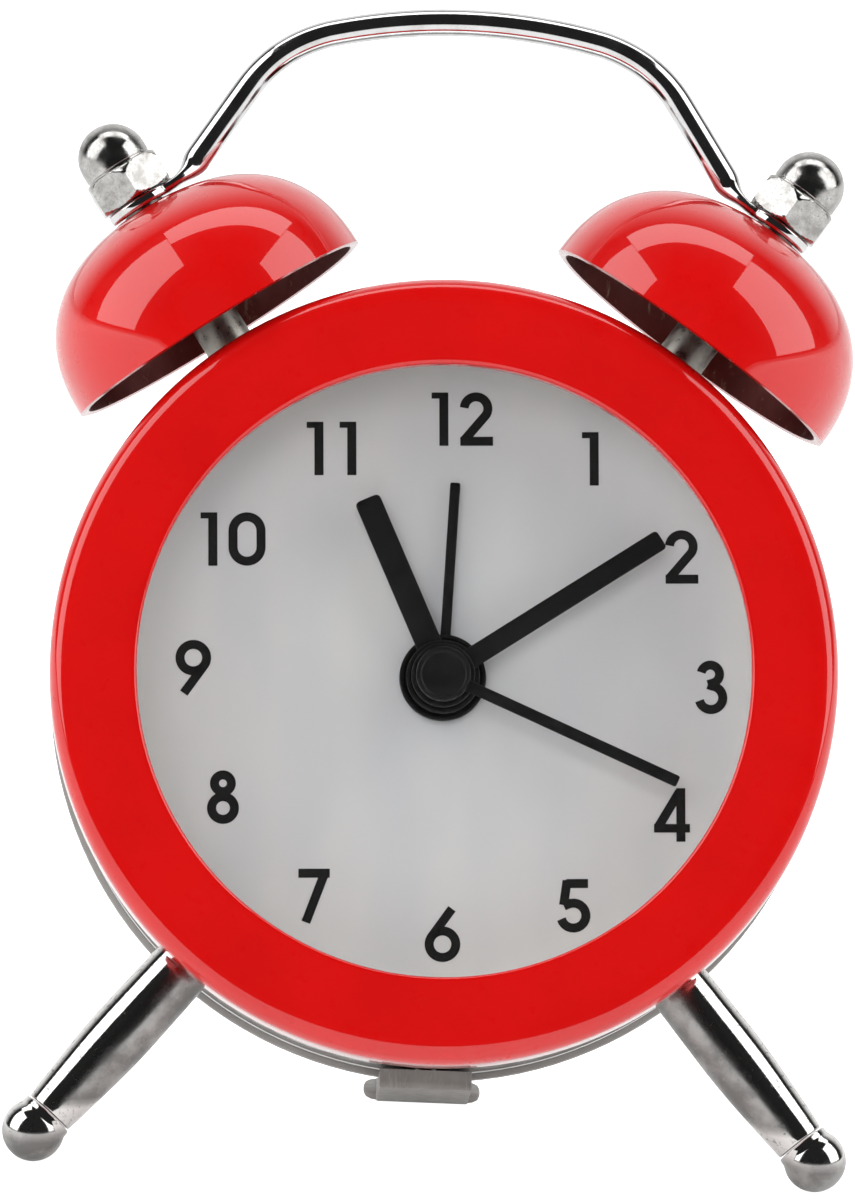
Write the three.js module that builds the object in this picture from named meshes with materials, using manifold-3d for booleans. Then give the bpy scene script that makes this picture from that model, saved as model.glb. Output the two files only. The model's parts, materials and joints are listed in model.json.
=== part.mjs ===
// A small twin-bell quartz alarm clock, built as the real one is put together.
// Millimetres, +Z up. The dial faces -Y and leans back, and the feet stand on z = 0.
//
// Every piece is modelled in the clock's own frame: x to the right, y back from the front of the
// bezel, z up the dial, with the hands' axis at x = z = 0. One group tilts and lifts the whole clock.
import * as THREE from 'three';
import { mergeVertices } from 'three/addons/utils/BufferGeometryUtils.js';
import Module from 'manifold-3d';

const wasm = await Module();
wasm.setup();

// ---------------------------------------------------------------- driving dimensions (mm, degrees)
const LEAN = 20;
const GAP = 0.1; // between pieces that rest on each other
const SLIP = 0.1; // radial, between a shaft and what turns on it
const PRESS = 0.05; // radial, between a shaft and what is pressed on it
const HEAD_CLEARANCE = 0.35; // a flat head or nut inside the curved drum
const OVERSHOOT = 1; // how far a cutting tool runs past what it cuts

// Case
const DRUM_RADIUS = 27.9;
const DRUM_WALL = 0.5;
const DRUM_FRONT = 1.5;
const CASE_DEPTH = 20.25;
const BEZEL_WALL = 0.65;
const BEZEL_SKIRT = 0.55;
const BEZEL_DEPTH = 5;
const BEZEL_ROUNDING = 1.3;
const WINDOW_RADIUS = 22.2;
const LIP_DEPTH = 1.8;
const LIP_ROUNDING = 0.5;
const LENS_OVERLAP = 1.3;
const LENS_THICKNESS = 1;
const DIAL_DEPTH = 7.5;
const DIAL_THICKNESS = 0.4;
const RING_SEAT = 0.7;
const RING_FLANGE = 1.4;
const DIAL_MARGIN = 2;
const COVER_OVERHANG = 0.4; // of its rim, beyond the drum
const COVER_EDGE = 0.2;
const COVER_WALL = 0.8;
const COVER_SPIGOT_WALL = 1;
const COVER_SPIGOT_DEPTH = 1.5;
const COVER_RIM_STEP = 0.4;
const COVER_SCREW_INSET = 7.9; // from the inside of the drum
const COVER_SCREW_Z = 3;
const COVER_SCREW_RADIUS = 0.9;
const COVER_SCREW_BITE = 4; // from the plate to the screw's point
const COVER_SCREW_HEAD = { radius: 1.9, crown: 1.4, edge: 0.6, height: 1 };
const COVER_BOSS_RADIUS = 2;

// Legs and feet
const LEG_ANGLE = 140; // from straight up
const LEG_DEPTH = 9.5;
const LEG_LENGTH = 14.4;
const LEG_TOP_RADIUS = 2.25;
const LEG_WAIST_RADIUS = 2.35;
const LEG_END_RADIUS = 1.85;
const BALL_RADIUS = 2.275;
const BALL_CENTRE = 1.7; // beyond the end of the leg
const FOOT_STUD_RADIUS = 0.9;
const FOOT_STUD_LENGTH = 3;
const LEG_SCREW_RADIUS = 1.5;
const LEG_SCREW_LENGTH = 8.5;
const LEG_SCREW_HEAD_RADIUS = 2.2;
const LEG_SCREW_HEAD = 1.5;
const REAR_FOOT_WIDTH = 6.7;
const REAR_FOOT_LIP_WIDTH = 8.5;
const REAR_FOOT_LIP = 0.6;
const REAR_FOOT_FRONT = 13.5;
const REAR_FOOT_THICKNESS = 1.35;
const REAR_FOOT_TAIL = 8; // where its flat base starts, behind the drum
const REAR_FOOT_BASE = 4; // length of the flat base
const REAR_FOOT_SCREW_RADIUS = 0.8;
const REAR_FOOT_SCREW_DEPTH = 16.5;
const REAR_FOOT_SCREW_HEAD_RADIUS = 1.7;
const REAR_FOOT_SCREW_HEAD = 1.2;

// Bells, their pillars, nuts and the handle
const BELL_ANGLE = 34.2;
const BELL_DEPTH = 11;
const BELL_RADIUS = 11.9;
const BELL_HEIGHT = 10.3;
const BELL_WALL = 0.7;
const BELL_FULLNESS = 2.35; // 2 is an ellipse, more is squarer
const BELL_CLEARANCE = 2.5; // from the drum to the rim
const PILLAR_RADIUS = 1.8;
const STUD_RADIUS = 1.5;
const STUD_INSIDE = 3.4;
const STUD_OUTSIDE = 3.3;
const EYE_RADIUS = 2.6;
const EYE_THICKNESS = 0.8;
const WIRE_SINK = 0.75; // the wire's underside, below the middle of the eye
const NUT_FLATS = 5.5;
const NUT_HEIGHT = 2.4;
const ACORN_HEX_HEIGHT = 2.6;
const ACORN_DOME_RADIUS = 2.56;
const ACORN_HEIGHT = 6;
const WIRE_RADIUS = 1;
const HANDLE_TONGUE = 4.2;
const HANDLE_TONGUE_WIDTH = 2.2;
const HANDLE_INSET = 6.097; // from where the wire leaves the eye, in to the arch's end
const HANDLE_RISE = 9.298; // and up to it
const HANDLE_CROWN = 2.3; // rise of the arch itself
const HANDLE_BEND = 3.6;

// Hands: depth of each from the bezel front, length from the axis, width, angle clockwise from 12
const HAND_THICKNESS = 0.3;
const HUB_BEVEL = 0.15;
const HANDS = {
  second_hand: { depth: 3.9, length: 18.6, width: 0.85, angle: 112.4, hub: 1.98, front: 0.6, back: 0 },
  minute_hand: { depth: 4.8, length: 18.6, width: 1.5, angle: 55.6, hub: 2.3, front: 0.3, back: 0.2 },
  hour_hand: { depth: 5.7, length: 14, width: 1.9, angle: 334.7, hub: 2.65, front: 0.1, back: 0.2 },
  alarm_hand: { depth: 6.6, length: 14.1, width: 0.73, angle: 1.5, hub: 3.12, front: 0.1, back: 0.2 },
};
const PIPE_LEAD = 0.1; // how far a pipe stands out in front of its hand's hub

// Movement: a plate behind the dial, a box on it, and wheels on levels counted from the plate
const PLATE_THICKNESS = 0.8;
const PLATE_MARGIN = 3.2;
const BOX = { left: -12.5, right: 12.5, bottom: -11.2, top: 12.6 };
const BOX_WALL = 0.8;
const BOX_DEPTH = 8.8;
const REAR_PLATE = 0.75;
const WHEEL_THICKNESS = 0.5;
const ALARM_LEVEL = 0.6;
const HOUR_LEVEL = 1.5;
const MOTION_LEVEL = 2.4;
const MINUTE_LEVEL = 3.3;
const THIRD_LEVEL = 4.4;
const SECOND_LEVEL = 5.4;
const INTERMEDIATE_LEVEL = 6.2;
const STATOR_LEVEL = 6.9;
const STATOR_THICKNESS = 0.9;
const SECOND_ARBOR = 0.3;
const MINUTE_PIPE = [0.4, 0.85];
const HOUR_PIPE = [0.95, 1.4];
const ALARM_PIPE = [1.5, 1.95];
const ARBOR = 0.18;
const MOTION_ARBOR = 0.3;
const SETTING_SHAFT = 0.6;
const ADDENDUM = 0.5;
const DEDENDUM = 1;
const BOSS_RADIUS = 1.1;
const BOSS_INSET = 2.2; // of a boss, from the outside of the box
const CASE_SCREW_RADIUS = 0.5;
const CASE_SCREW_BITE = 3;
const CASE_SCREW_HEAD = 0.5;
const KNOB_RADIUS = 3.4;
const KNOB_LENGTH = 5.5;
const KNOB_GAP = 0.5; // before and behind the cover
const KNOB_STEM_RADIUS = 1.1;
const KNOB_HOLE = 0.3; // radial clearance round the stem
const SHAFT_REACH = 4; // of a setting shaft, behind the cover
const KNOB_RIBS = 20;
const KNOB_RIB_DEPTH = 0.25;

// Battery, buzzer, switch
const CELL_RADIUS = 5.8;
const CELL_HEIGHT = 5.4;
const CELL_CAP_STEP = 0.8;
const CELL_CAP_HEIGHT = 0.7;
const HOLDER_CLEARANCE = 0.5;
const HOLDER_WALL = 0.6;
const CONTACT_THICKNESS = 0.2;
const CONTACT_WIDTH = 2.4;
const CONTACT_SPREAD = 72; // degrees round the cell
const DOOR_MARGIN = 1; // round the cell that passes through
const DOOR_CORNER = 1.2;
const BATTERY_MARGIN = 2.1;
const BUZZER_RADIUS = 6.5;
const BUZZER_HEIGHT = 3.5;
const BUZZER_MOUTH = 1;
const BUZZER_GAP = 0.3; // from the movement's box
const SOUND_HOLE_RADIUS = 0.8;
const SOUND_HOLE_PITCH = 2;
const SOUND_HOLES = 5;
const SWITCH_AT = [12, 12];
const SWITCH_TRAVEL = 3;
const SWITCH_NECK = [2.2, 1.6];
const SWITCH_BUTTON = [4, 3, 2];
const SWITCH_PLATE = [7, 3.4, 0.8];

// Board and motor, drawn in x and z
const BOARD_THICKNESS = 0.6;
const BOARD_STANDOFF = 0.2;
const BOARD = { right: -1.2, top: -1.5, side: 0.3, foot: 0.2 };
const CHIP = { left: -10, right: -6, bottom: -8, top: -4, height: 1.2 };
const CRYSTAL = { x: -3.4, bottom: -9, top: -3, radius: 0.75 };
const MAGNET_RADIUS = 1.1;
const AIR_GAP = 0.2;
const LOBE_RADIUS = 2.6;
const CORE = { half: 8.4, bottom: 6, top: 10.4, bar: 1.2, coilBar: 1, lobeEnd: 5.5 };
const COIL = { left: -6, right: 2, radius: 1.4 };
const LEAF = { left: 1, right: 11.5, bottom: -5.2, top: -4.4, thickness: 0.15, root: 1 };

// Facets
const CASE_SEGMENTS = 40;
const BELL_SEGMENTS = 24;
const TURNED_SEGMENTS = 16;
const SMALL_SEGMENTS = 10;
const WIRE_SIDES = 4; // per half turn

// ---------------------------------------------------------------- worked-out places
const DRUM_INSIDE = DRUM_RADIUS - DRUM_WALL;
const COVER_RIM_RADIUS = DRUM_RADIUS + COVER_OVERHANG;
const COVER_SCREW_X = DRUM_INSIDE - COVER_SCREW_INSET;
const BEZEL_RADIUS = DRUM_RADIUS + PRESS + BEZEL_SKIRT;
const LENS_FRONT = LIP_DEPTH + GAP;
const LENS_BACK = LENS_FRONT + LENS_THICKNESS;
const LENS_RADIUS = WINDOW_RADIUS + LENS_OVERLAP;
const DIAL_RADIUS = DRUM_INSIDE - DIAL_MARGIN;
const PLATE_FRONT = DIAL_DEPTH + DIAL_THICKNESS + GAP;
const PLATE_BACK = PLATE_FRONT + PLATE_THICKNESS;
const PLATE_RADIUS = DRUM_INSIDE - PLATE_MARGIN;
const BOX_BACK = PLATE_BACK + BOX_DEPTH;
const REAR_FRONT = BOX_BACK + PRESS;
const REAR_BACK = REAR_FRONT + REAR_PLATE;
const COVER_SEAT = CASE_DEPTH + PRESS;
const COVER_INSIDE = COVER_SEAT + COVER_RIM_STEP;
const COVER_BACK = COVER_INSIDE + COVER_WALL;
const CASE_SCREWS = [
  [BOX.left + BOSS_INSET, BOX.top - BOSS_INSET],
  [BOX.right - BOSS_INSET, BOX.top - BOSS_INSET],
  [BOX.right - BOSS_INSET, BOX.bottom + BOSS_INSET],
];
const BOARD_BOSS = [BOX.left + BOSS_INSET, BOX.bottom + BOSS_INSET];
const BOARD_FRONT = PLATE_BACK + INTERMEDIATE_LEVEL + BOARD_STANDOFF;
const CELL_CAP_RADIUS = CELL_RADIUS - CELL_CAP_STEP;
const DOOR_SIZE = (CELL_RADIUS + DOOR_MARGIN) * 2;
const BUZZER_Z = BOX.top + BUZZER_GAP + BUZZER_RADIUS;
const BATTERY_RADIUS = CELL_RADIUS + HOLDER_CLEARANCE;
const BATTERY_Z = -(DRUM_INSIDE - BATTERY_MARGIN - BATTERY_RADIUS - HOLDER_WALL);
const BELL_RIM = DRUM_RADIUS + BELL_CLEARANCE;
const BELL_TOP = BELL_RIM + BELL_HEIGHT;
const PILLAR_TOP = BELL_TOP - BELL_WALL - GAP * 2;
const EYE_BOTTOM = BELL_TOP + PRESS;
const NUT_SEAT = EYE_BOTTOM + EYE_THICKNESS + PRESS;
const HOLE_RADIUS = STUD_RADIUS + SLIP;
const LEG_START = DRUM_RADIUS + PRESS;
const LEG_END = LEG_START + LEG_LENGTH;
const HEAD_SEAT = DRUM_INSIDE - HEAD_CLEARANCE;

const radians = (degrees) => THREE.MathUtils.degToRad(degrees);
const tiltCos = Math.cos(radians(LEAN));
const tiltSin = Math.sin(radians(LEAN));
const ballHeight = (LEG_END + BALL_CENTRE) * Math.cos(radians(LEG_ANGLE));
// The floor, as a height in the clock's own frame: it rises towards the back as the clock leans.
const floorDrop = BALL_RADIUS - ballHeight * tiltCos + LEG_DEPTH * tiltSin;
const floorAt = (depth) => (depth * tiltSin - floorDrop) / tiltCos;

// ---------------------------------------------------------------- colours and finishes
const RED_ENAMEL = { color: 0xd91616, roughness: 0.2, metalness: 0.1 };
const CHROME = { color: 0xd8d8d8, roughness: 0.1, metalness: 1 };
const SATIN_STEEL = { color: 0xb9b6b1, roughness: 0.35, metalness: 1 };
const SILVER_CARD = { color: 0xc6c8cb, roughness: 0.5, metalness: 0.3 };
const BLACK_PLASTIC = { color: 0x141414, roughness: 0.55, metalness: 0 };
const WHITE_PLASTIC = { color: 0xe8e6df, roughness: 0.5, metalness: 0 };
const GREY_PLASTIC = { color: 0x8f8f8f, roughness: 0.5, metalness: 0 };
const CLEAR_PLASTIC = { color: 0xf4f8fa, roughness: 0.05, metalness: 0 };
const BRASS = { color: 0xc9a24b, roughness: 0.3, metalness: 1 };
const COPPER = { color: 0xb06a3a, roughness: 0.35, metalness: 1 };
const MAGNET = { color: 0x4a4a4c, roughness: 0.6, metalness: 0.6 };
const BOARD_GREEN = { color: 0x2f6b3f, roughness: 0.5, metalness: 0 };

// ---------------------------------------------------------------- shapes
const clock = new THREE.Group();

// Add a piece to the clock, moved by a matrix where it isn't modelled in place.
function piece(name, geometry, look, place = new THREE.Matrix4()) {
  const mesh = new THREE.Mesh(geometry, new THREE.MeshStandardMaterial(look));
  mesh.name = name;
  mesh.applyMatrix4(place);
  clock.add(mesh);
}

// A body turned about y. The profile is [radius, y] points, anticlockwise seen with y up.
function turned(profile, segments) {
  const points = profile.map(([radius, y]) => new THREE.Vector2(radius, y));
  const fromAxis = profile[0][0] === 0;
  if (!fromAxis) {
    points.push(points[0].clone());
  }
  return new THREE.LatheGeometry(points, segments);
}

function tube(inner, outer, from, to, segments = SMALL_SEGMENTS) {
  return turned([[inner, from], [outer, from], [outer, to], [inner, to]], segments);
}

function rod(radius, from, to, segments = SMALL_SEGMENTS) {
  return turned([[0, from], [radius, from], [radius, to], [0, to]], segments);
}

// A flat outline drawn in x and z, with its thickness along y.
function plate(shape, from, to, curveSegments = SMALL_SEGMENTS) {
  const options = { depth: to - from, bevelEnabled: false, curveSegments };
  return new THREE.ExtrudeGeometry(shape, options).rotateX(Math.PI / 2).translate(0, to, 0);
}

function block(left, right, bottom, top, from, to) {
  const box = new THREE.BoxGeometry(right - left, to - from, top - bottom);
  return box.translate((left + right) / 2, (from + to) / 2, (bottom + top) / 2);
}

function roundedSquare(size, corner) {
  const half = size / 2;
  const shape = new THREE.Shape();
  shape.absarc(half - corner, half - corner, corner, 0, Math.PI / 2);
  shape.absarc(corner - half, half - corner, corner, Math.PI / 2, Math.PI);
  shape.absarc(corner - half, corner - half, corner, Math.PI, Math.PI * 1.5);
  shape.absarc(half - corner, corner - half, corner, Math.PI * 1.5, Math.PI * 2);
  return shape;
}

function solid(geometry) {
  const bare = geometry.clone();
  bare.deleteAttribute('normal');
  bare.deleteAttribute('uv');
  const merged = mergeVertices(bare, 1e-4);
  const corners = merged.index.array;
  const faces = [];
  for (let i = 0; i < corners.length; i += 3) {
    const [a, b, c] = corners.slice(i, i + 3);
    if (a !== b && b !== c && c !== a) {
      faces.push(a, b, c);
    }
  }
  const vertProperties = new Float32Array(merged.attributes.position.array);
  const mesh = new wasm.Mesh({ numProp: 3, vertProperties, triVerts: new Uint32Array(faces) });
  return new wasm.Manifold(mesh);
}

function surface(body) {
  const { vertProperties, triVerts } = body.getMesh();
  const geometry = new THREE.BufferGeometry();
  geometry.setAttribute('position', new THREE.BufferAttribute(vertProperties, 3));
  geometry.setIndex(new THREE.BufferAttribute(triVerts, 1));
  geometry.computeVertexNormals();
  return geometry;
}

const join = (...parts) => surface(parts.map(solid).reduce((whole, part) => whole.add(part)));
const cut = (base, ...tools) => {
  return surface(tools.map(solid).reduce((whole, tool) => whole.subtract(tool), solid(base)));
};

// Stand a body turned about y on the drum, pointing out at an angle from straight up.
function outwards(angle, depth) {
  const turn = new THREE.Matrix4().makeRotationY(radians(angle));
  const stand = new THREE.Matrix4().makeRotationX(Math.PI / 2);
  return new THREE.Matrix4().makeTranslation(0, depth, 0).multiply(turn).multiply(stand);
}

const at = ([x, z]) => new THREE.Matrix4().makeTranslation(x, 0, z);
const moved = (geometry, place) => geometry.clone().applyMatrix4(place);
const SIDES = [['left', -1], ['right', 1]];

// ---------------------------------------------------------------- case
function addBezel() {
  const round = [];
  const steps = 4;
  for (let i = 0; i <= steps; i++) {
    const turn = (Math.PI / 2) * (i / steps);
    const reach = BEZEL_RADIUS - BEZEL_ROUNDING + BEZEL_ROUNDING * Math.sin(turn);
    round.push([reach, BEZEL_ROUNDING - BEZEL_ROUNDING * Math.cos(turn)]);
  }
  const skirt = BEZEL_RADIUS - BEZEL_SKIRT;
  const bezel = turned([
    [WINDOW_RADIUS, LIP_DEPTH],
    [WINDOW_RADIUS, LIP_ROUNDING],
    [WINDOW_RADIUS + LIP_ROUNDING * 0.3, LIP_ROUNDING * 0.3],
    [WINDOW_RADIUS + LIP_ROUNDING, 0],
    ...round,
    [BEZEL_RADIUS, BEZEL_DEPTH],
    [skirt, BEZEL_DEPTH],
    [skirt, BEZEL_ROUNDING + GAP],
    [BEZEL_RADIUS - BEZEL_ROUNDING, BEZEL_WALL],
    [WINDOW_RADIUS + BEZEL_WALL, BEZEL_WALL],
    [WINDOW_RADIUS + BEZEL_WALL, LIP_DEPTH],
  ], CASE_SEGMENTS);
  piece('bezel', bezel, RED_ENAMEL);
}

function addLensAndDial() {
  piece('lens', rod(LENS_RADIUS, LENS_FRONT, LENS_BACK, CASE_SEGMENTS), CLEAR_PLASTIC);
  const flange = DRUM_INSIDE - GAP;
  const front = BEZEL_WALL + GAP;
  const ring = turned([
    [WINDOW_RADIUS + RING_SEAT, LENS_BACK + PRESS],
    [LENS_RADIUS + PRESS, LENS_BACK + PRESS],
    [LENS_RADIUS + PRESS, front],
    [DIAL_RADIUS, front],
    [DIAL_RADIUS, DRUM_FRONT + GAP],
    [flange, DRUM_FRONT + GAP],
    [flange, DRUM_FRONT + GAP + RING_FLANGE],
    [DIAL_RADIUS, DRUM_FRONT + GAP + RING_FLANGE],
    [DIAL_RADIUS, DIAL_DEPTH - GAP],
    [WINDOW_RADIUS + RING_SEAT, DIAL_DEPTH - GAP],
  ], CASE_SEGMENTS);
  piece('spacer_ring', ring, WHITE_PLASTIC);
  const hole = ALARM_PIPE[1] + SLIP * 2;
  const dial = tube(hole, DIAL_RADIUS, DIAL_DEPTH, DIAL_DEPTH + DIAL_THICKNESS, CASE_SEGMENTS);
  piece('dial', dial, SILVER_CARD);
}

function addDrum() {
  const shell = tube(DRUM_INSIDE, DRUM_RADIUS, DRUM_FRONT, CASE_DEPTH, CASE_SEGMENTS);
  const drill = (radius, angle, depth) => {
    return moved(rod(radius, DRUM_INSIDE - OVERSHOOT, DRUM_RADIUS + OVERSHOOT), outwards(angle, depth));
  };
  const holes = SIDES.flatMap(([, sign]) => [
    drill(HOLE_RADIUS, sign * BELL_ANGLE, BELL_DEPTH),
    drill(LEG_SCREW_RADIUS + SLIP, sign * LEG_ANGLE, LEG_DEPTH),
  ]);
  holes.push(drill(REAR_FOOT_SCREW_RADIUS + SLIP, 180, REAR_FOOT_SCREW_DEPTH));
  piece('drum', cut(shell, ...holes), CHROME);
}

// ---------------------------------------------------------------- legs and feet
function addLegs() {
  const waist = LEG_START + LEG_LENGTH * 0.52;
  const boreRadius = LEG_SCREW_RADIUS + SLIP;
  const boreEnd = DRUM_INSIDE + LEG_SCREW_LENGTH + GAP;
  const socketRadius = FOOT_STUD_RADIUS + SLIP;
  const socketEnd = LEG_END - FOOT_STUD_LENGTH - GAP;
  const leg = turned([
    [0, boreEnd],
    [boreRadius, boreEnd],
    [boreRadius, LEG_START],
    [LEG_TOP_RADIUS, LEG_START],
    [LEG_WAIST_RADIUS, waist],
    [LEG_END_RADIUS + 0.12, LEG_END - 1],
    [LEG_END_RADIUS, LEG_END],
    [socketRadius, LEG_END],
    [socketRadius, socketEnd],
    [0, socketEnd],
  ], TURNED_SEGMENTS);

  const ballCentre = LEG_END + BALL_CENTRE;
  const seat = LEG_END + GAP;
  const start = Math.acos((ballCentre - seat) / BALL_RADIUS);
  const steps = 7;
  const ballProfile = [[0, LEG_END - FOOT_STUD_LENGTH]];
  ballProfile.push([FOOT_STUD_RADIUS, LEG_END - FOOT_STUD_LENGTH], [FOOT_STUD_RADIUS, seat]);
  for (let i = 0; i <= steps; i++) {
    const turn = start + (Math.PI - start) * (i / steps);
    const radius = i === steps ? 0 : BALL_RADIUS * Math.sin(turn);
    ballProfile.push([radius, ballCentre - BALL_RADIUS * Math.cos(turn)]);
  }
  const ball = turned(ballProfile, TURNED_SEGMENTS);

  const headIn = HEAD_SEAT - LEG_SCREW_HEAD;
  const screw = turned([
    [0, headIn],
    [LEG_SCREW_HEAD_RADIUS, headIn],
    [LEG_SCREW_HEAD_RADIUS, HEAD_SEAT],
    [LEG_SCREW_RADIUS, HEAD_SEAT],
    [LEG_SCREW_RADIUS, DRUM_INSIDE + LEG_SCREW_LENGTH],
    [0, DRUM_INSIDE + LEG_SCREW_LENGTH],
  ], SMALL_SEGMENTS);

  for (const [side, sign] of SIDES) {
    const place = outwards(sign * LEG_ANGLE, LEG_DEPTH);
    piece(`leg_${side}`, leg, SATIN_STEEL, place);
    piece(`foot_ball_${side}`, ball, CHROME, place);
    piece(`leg_screw_${side}`, screw, SATIN_STEEL, place);
  }
}

// The rear foot is drawn in section, depth and height, and widened along x.
function addRearFoot() {
  const top = -(DRUM_RADIUS + GAP);
  const underRim = -(COVER_RIM_RADIUS + GAP);
  const baseFront = CASE_DEPTH + REAR_FOOT_TAIL;
  const baseBack = baseFront + REAR_FOOT_BASE;
  const sideways = new THREE.Matrix4().makeBasis(
    new THREE.Vector3(0, 1, 0),
    new THREE.Vector3(0, 0, 1),
    new THREE.Vector3(1, 0, 0),
  );
  const widened = (points, width) => {
    const shape = new THREE.Shape(points.map(([depth, height]) => new THREE.Vector2(depth, height)));
    const geometry = new THREE.ExtrudeGeometry(shape, { depth: width, bevelEnabled: false });
    return geometry.translate(0, 0, -width / 2).applyMatrix4(sideways);
  };
  const web = widened([
    [REAR_FOOT_FRONT, top],
    [REAR_FOOT_FRONT, top - REAR_FOOT_THICKNESS],
    [COVER_BACK + GAP, top - REAR_FOOT_THICKNESS],
    [baseFront, floorAt(baseFront)],
    [baseBack, floorAt(baseBack)],
    [baseBack, floorAt(baseBack) + REAR_FOOT_LIP],
    [COVER_BACK + GAP, underRim],
    [CASE_DEPTH - GAP, underRim],
    [CASE_DEPTH - GAP, top],
  ], REAR_FOOT_WIDTH);
  const lip = widened([
    [baseFront, floorAt(baseFront)],
    [baseBack, floorAt(baseBack)],
    [baseBack, floorAt(baseBack) + REAR_FOOT_LIP],
    [baseFront, floorAt(baseFront) + REAR_FOOT_LIP],
  ], REAR_FOOT_LIP_WIDTH);
  const place = outwards(180, REAR_FOOT_SCREW_DEPTH);
  const screwEnd = DRUM_RADIUS + GAP + REAR_FOOT_THICKNESS * 0.7;
  const bore = rod(REAR_FOOT_SCREW_RADIUS + SLIP, DRUM_RADIUS - OVERSHOOT, screwEnd + GAP);
  piece('rear_foot', cut(join(web, lip), moved(bore, place)), GREY_PLASTIC);

  const headIn = HEAD_SEAT - REAR_FOOT_SCREW_HEAD;
  const screw = turned([
    [0, headIn],
    [REAR_FOOT_SCREW_HEAD_RADIUS, headIn],
    [REAR_FOOT_SCREW_HEAD_RADIUS, HEAD_SEAT],
    [REAR_FOOT_SCREW_RADIUS, HEAD_SEAT],
    [REAR_FOOT_SCREW_RADIUS, screwEnd],
    [0, screwEnd],
  ], SMALL_SEGMENTS);
  piece('rear_foot_screw', screw, SATIN_STEEL, place);
}

// ---------------------------------------------------------------- bells and handle
// The bell's outline from the top hole to the rim, as [radius, distance from the case's centre].
function bellCurve(radius, height, steps) {
  const share = 2 / BELL_FULLNESS;
  const top = Math.acos(Math.pow(HOLE_RADIUS / radius, 1 / share));
  const points = [];
  for (let i = 0; i <= steps; i++) {
    const turn = top * (1 - i / steps);
    const level = height * Math.pow(Math.sin(turn), share);
    points.push([radius * Math.pow(Math.cos(turn), share), BELL_RIM + level]);
  }
  return points;
}

function hexagon(flats, from, to) {
  const shape = new THREE.Shape();
  const corner = flats / Math.sqrt(3);
  for (let i = 0; i < 6; i++) {
    const turn = (Math.PI / 3) * i;
    shape[i === 0 ? 'moveTo' : 'lineTo'](corner * Math.cos(turn), corner * Math.sin(turn));
  }
  return plate(shape, from, to);
}

function addBells() {
  const outside = bellCurve(BELL_RADIUS, BELL_HEIGHT, 7).reverse();
  const inside = bellCurve(BELL_RADIUS - BELL_WALL, BELL_HEIGHT - BELL_WALL, 6);
  const bell = turned([...outside, ...inside], BELL_SEGMENTS);

  const pillar = turned([
    [0, DRUM_INSIDE - STUD_INSIDE],
    [STUD_RADIUS, DRUM_INSIDE - STUD_INSIDE],
    [STUD_RADIUS, DRUM_RADIUS + PRESS],
    [PILLAR_RADIUS, DRUM_RADIUS + PRESS],
    [PILLAR_RADIUS, PILLAR_TOP],
    [STUD_RADIUS, PILLAR_TOP],
    [STUD_RADIUS, NUT_SEAT + STUD_OUTSIDE],
    [0, NUT_SEAT + STUD_OUTSIDE],
  ], TURNED_SEGMENTS);

  const domeCentre = NUT_SEAT + ACORN_HEIGHT - ACORN_DOME_RADIUS;
  const domeProfile = [[0, NUT_SEAT + 0.5], [ACORN_DOME_RADIUS, NUT_SEAT + 0.5]];
  const steps = 5;
  for (let i = 0; i <= steps; i++) {
    const turn = (Math.PI / 2) * (i / steps);
    const radius = i === steps ? 0 : ACORN_DOME_RADIUS * Math.cos(turn);
    domeProfile.push([radius, domeCentre + ACORN_DOME_RADIUS * Math.sin(turn)]);
  }
  const acornBore = rod(HOLE_RADIUS, NUT_SEAT - OVERSHOOT, NUT_SEAT + STUD_OUTSIDE + GAP);
  const acorn = cut(
    join(hexagon(NUT_FLATS, NUT_SEAT, NUT_SEAT + ACORN_HEX_HEIGHT), turned(domeProfile, TURNED_SEGMENTS)),
    acornBore,
  );

  const nutIn = HEAD_SEAT - NUT_HEIGHT;
  const nutBore = rod(HOLE_RADIUS, nutIn - OVERSHOOT, HEAD_SEAT + OVERSHOOT);
  const nut = cut(hexagon(NUT_FLATS, nutIn, HEAD_SEAT), nutBore);

  for (const [side, sign] of SIDES) {
    const place = outwards(sign * BELL_ANGLE, BELL_DEPTH);
    piece(`bell_${side}`, bell, RED_ENAMEL, place);
    piece(`bell_post_${side}`, pillar, CHROME, place);
    piece(`acorn_nut_${side}`, acorn, CHROME, place);
    piece(`post_nut_${side}`, nut, SATIN_STEEL, place);
  }
}

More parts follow.
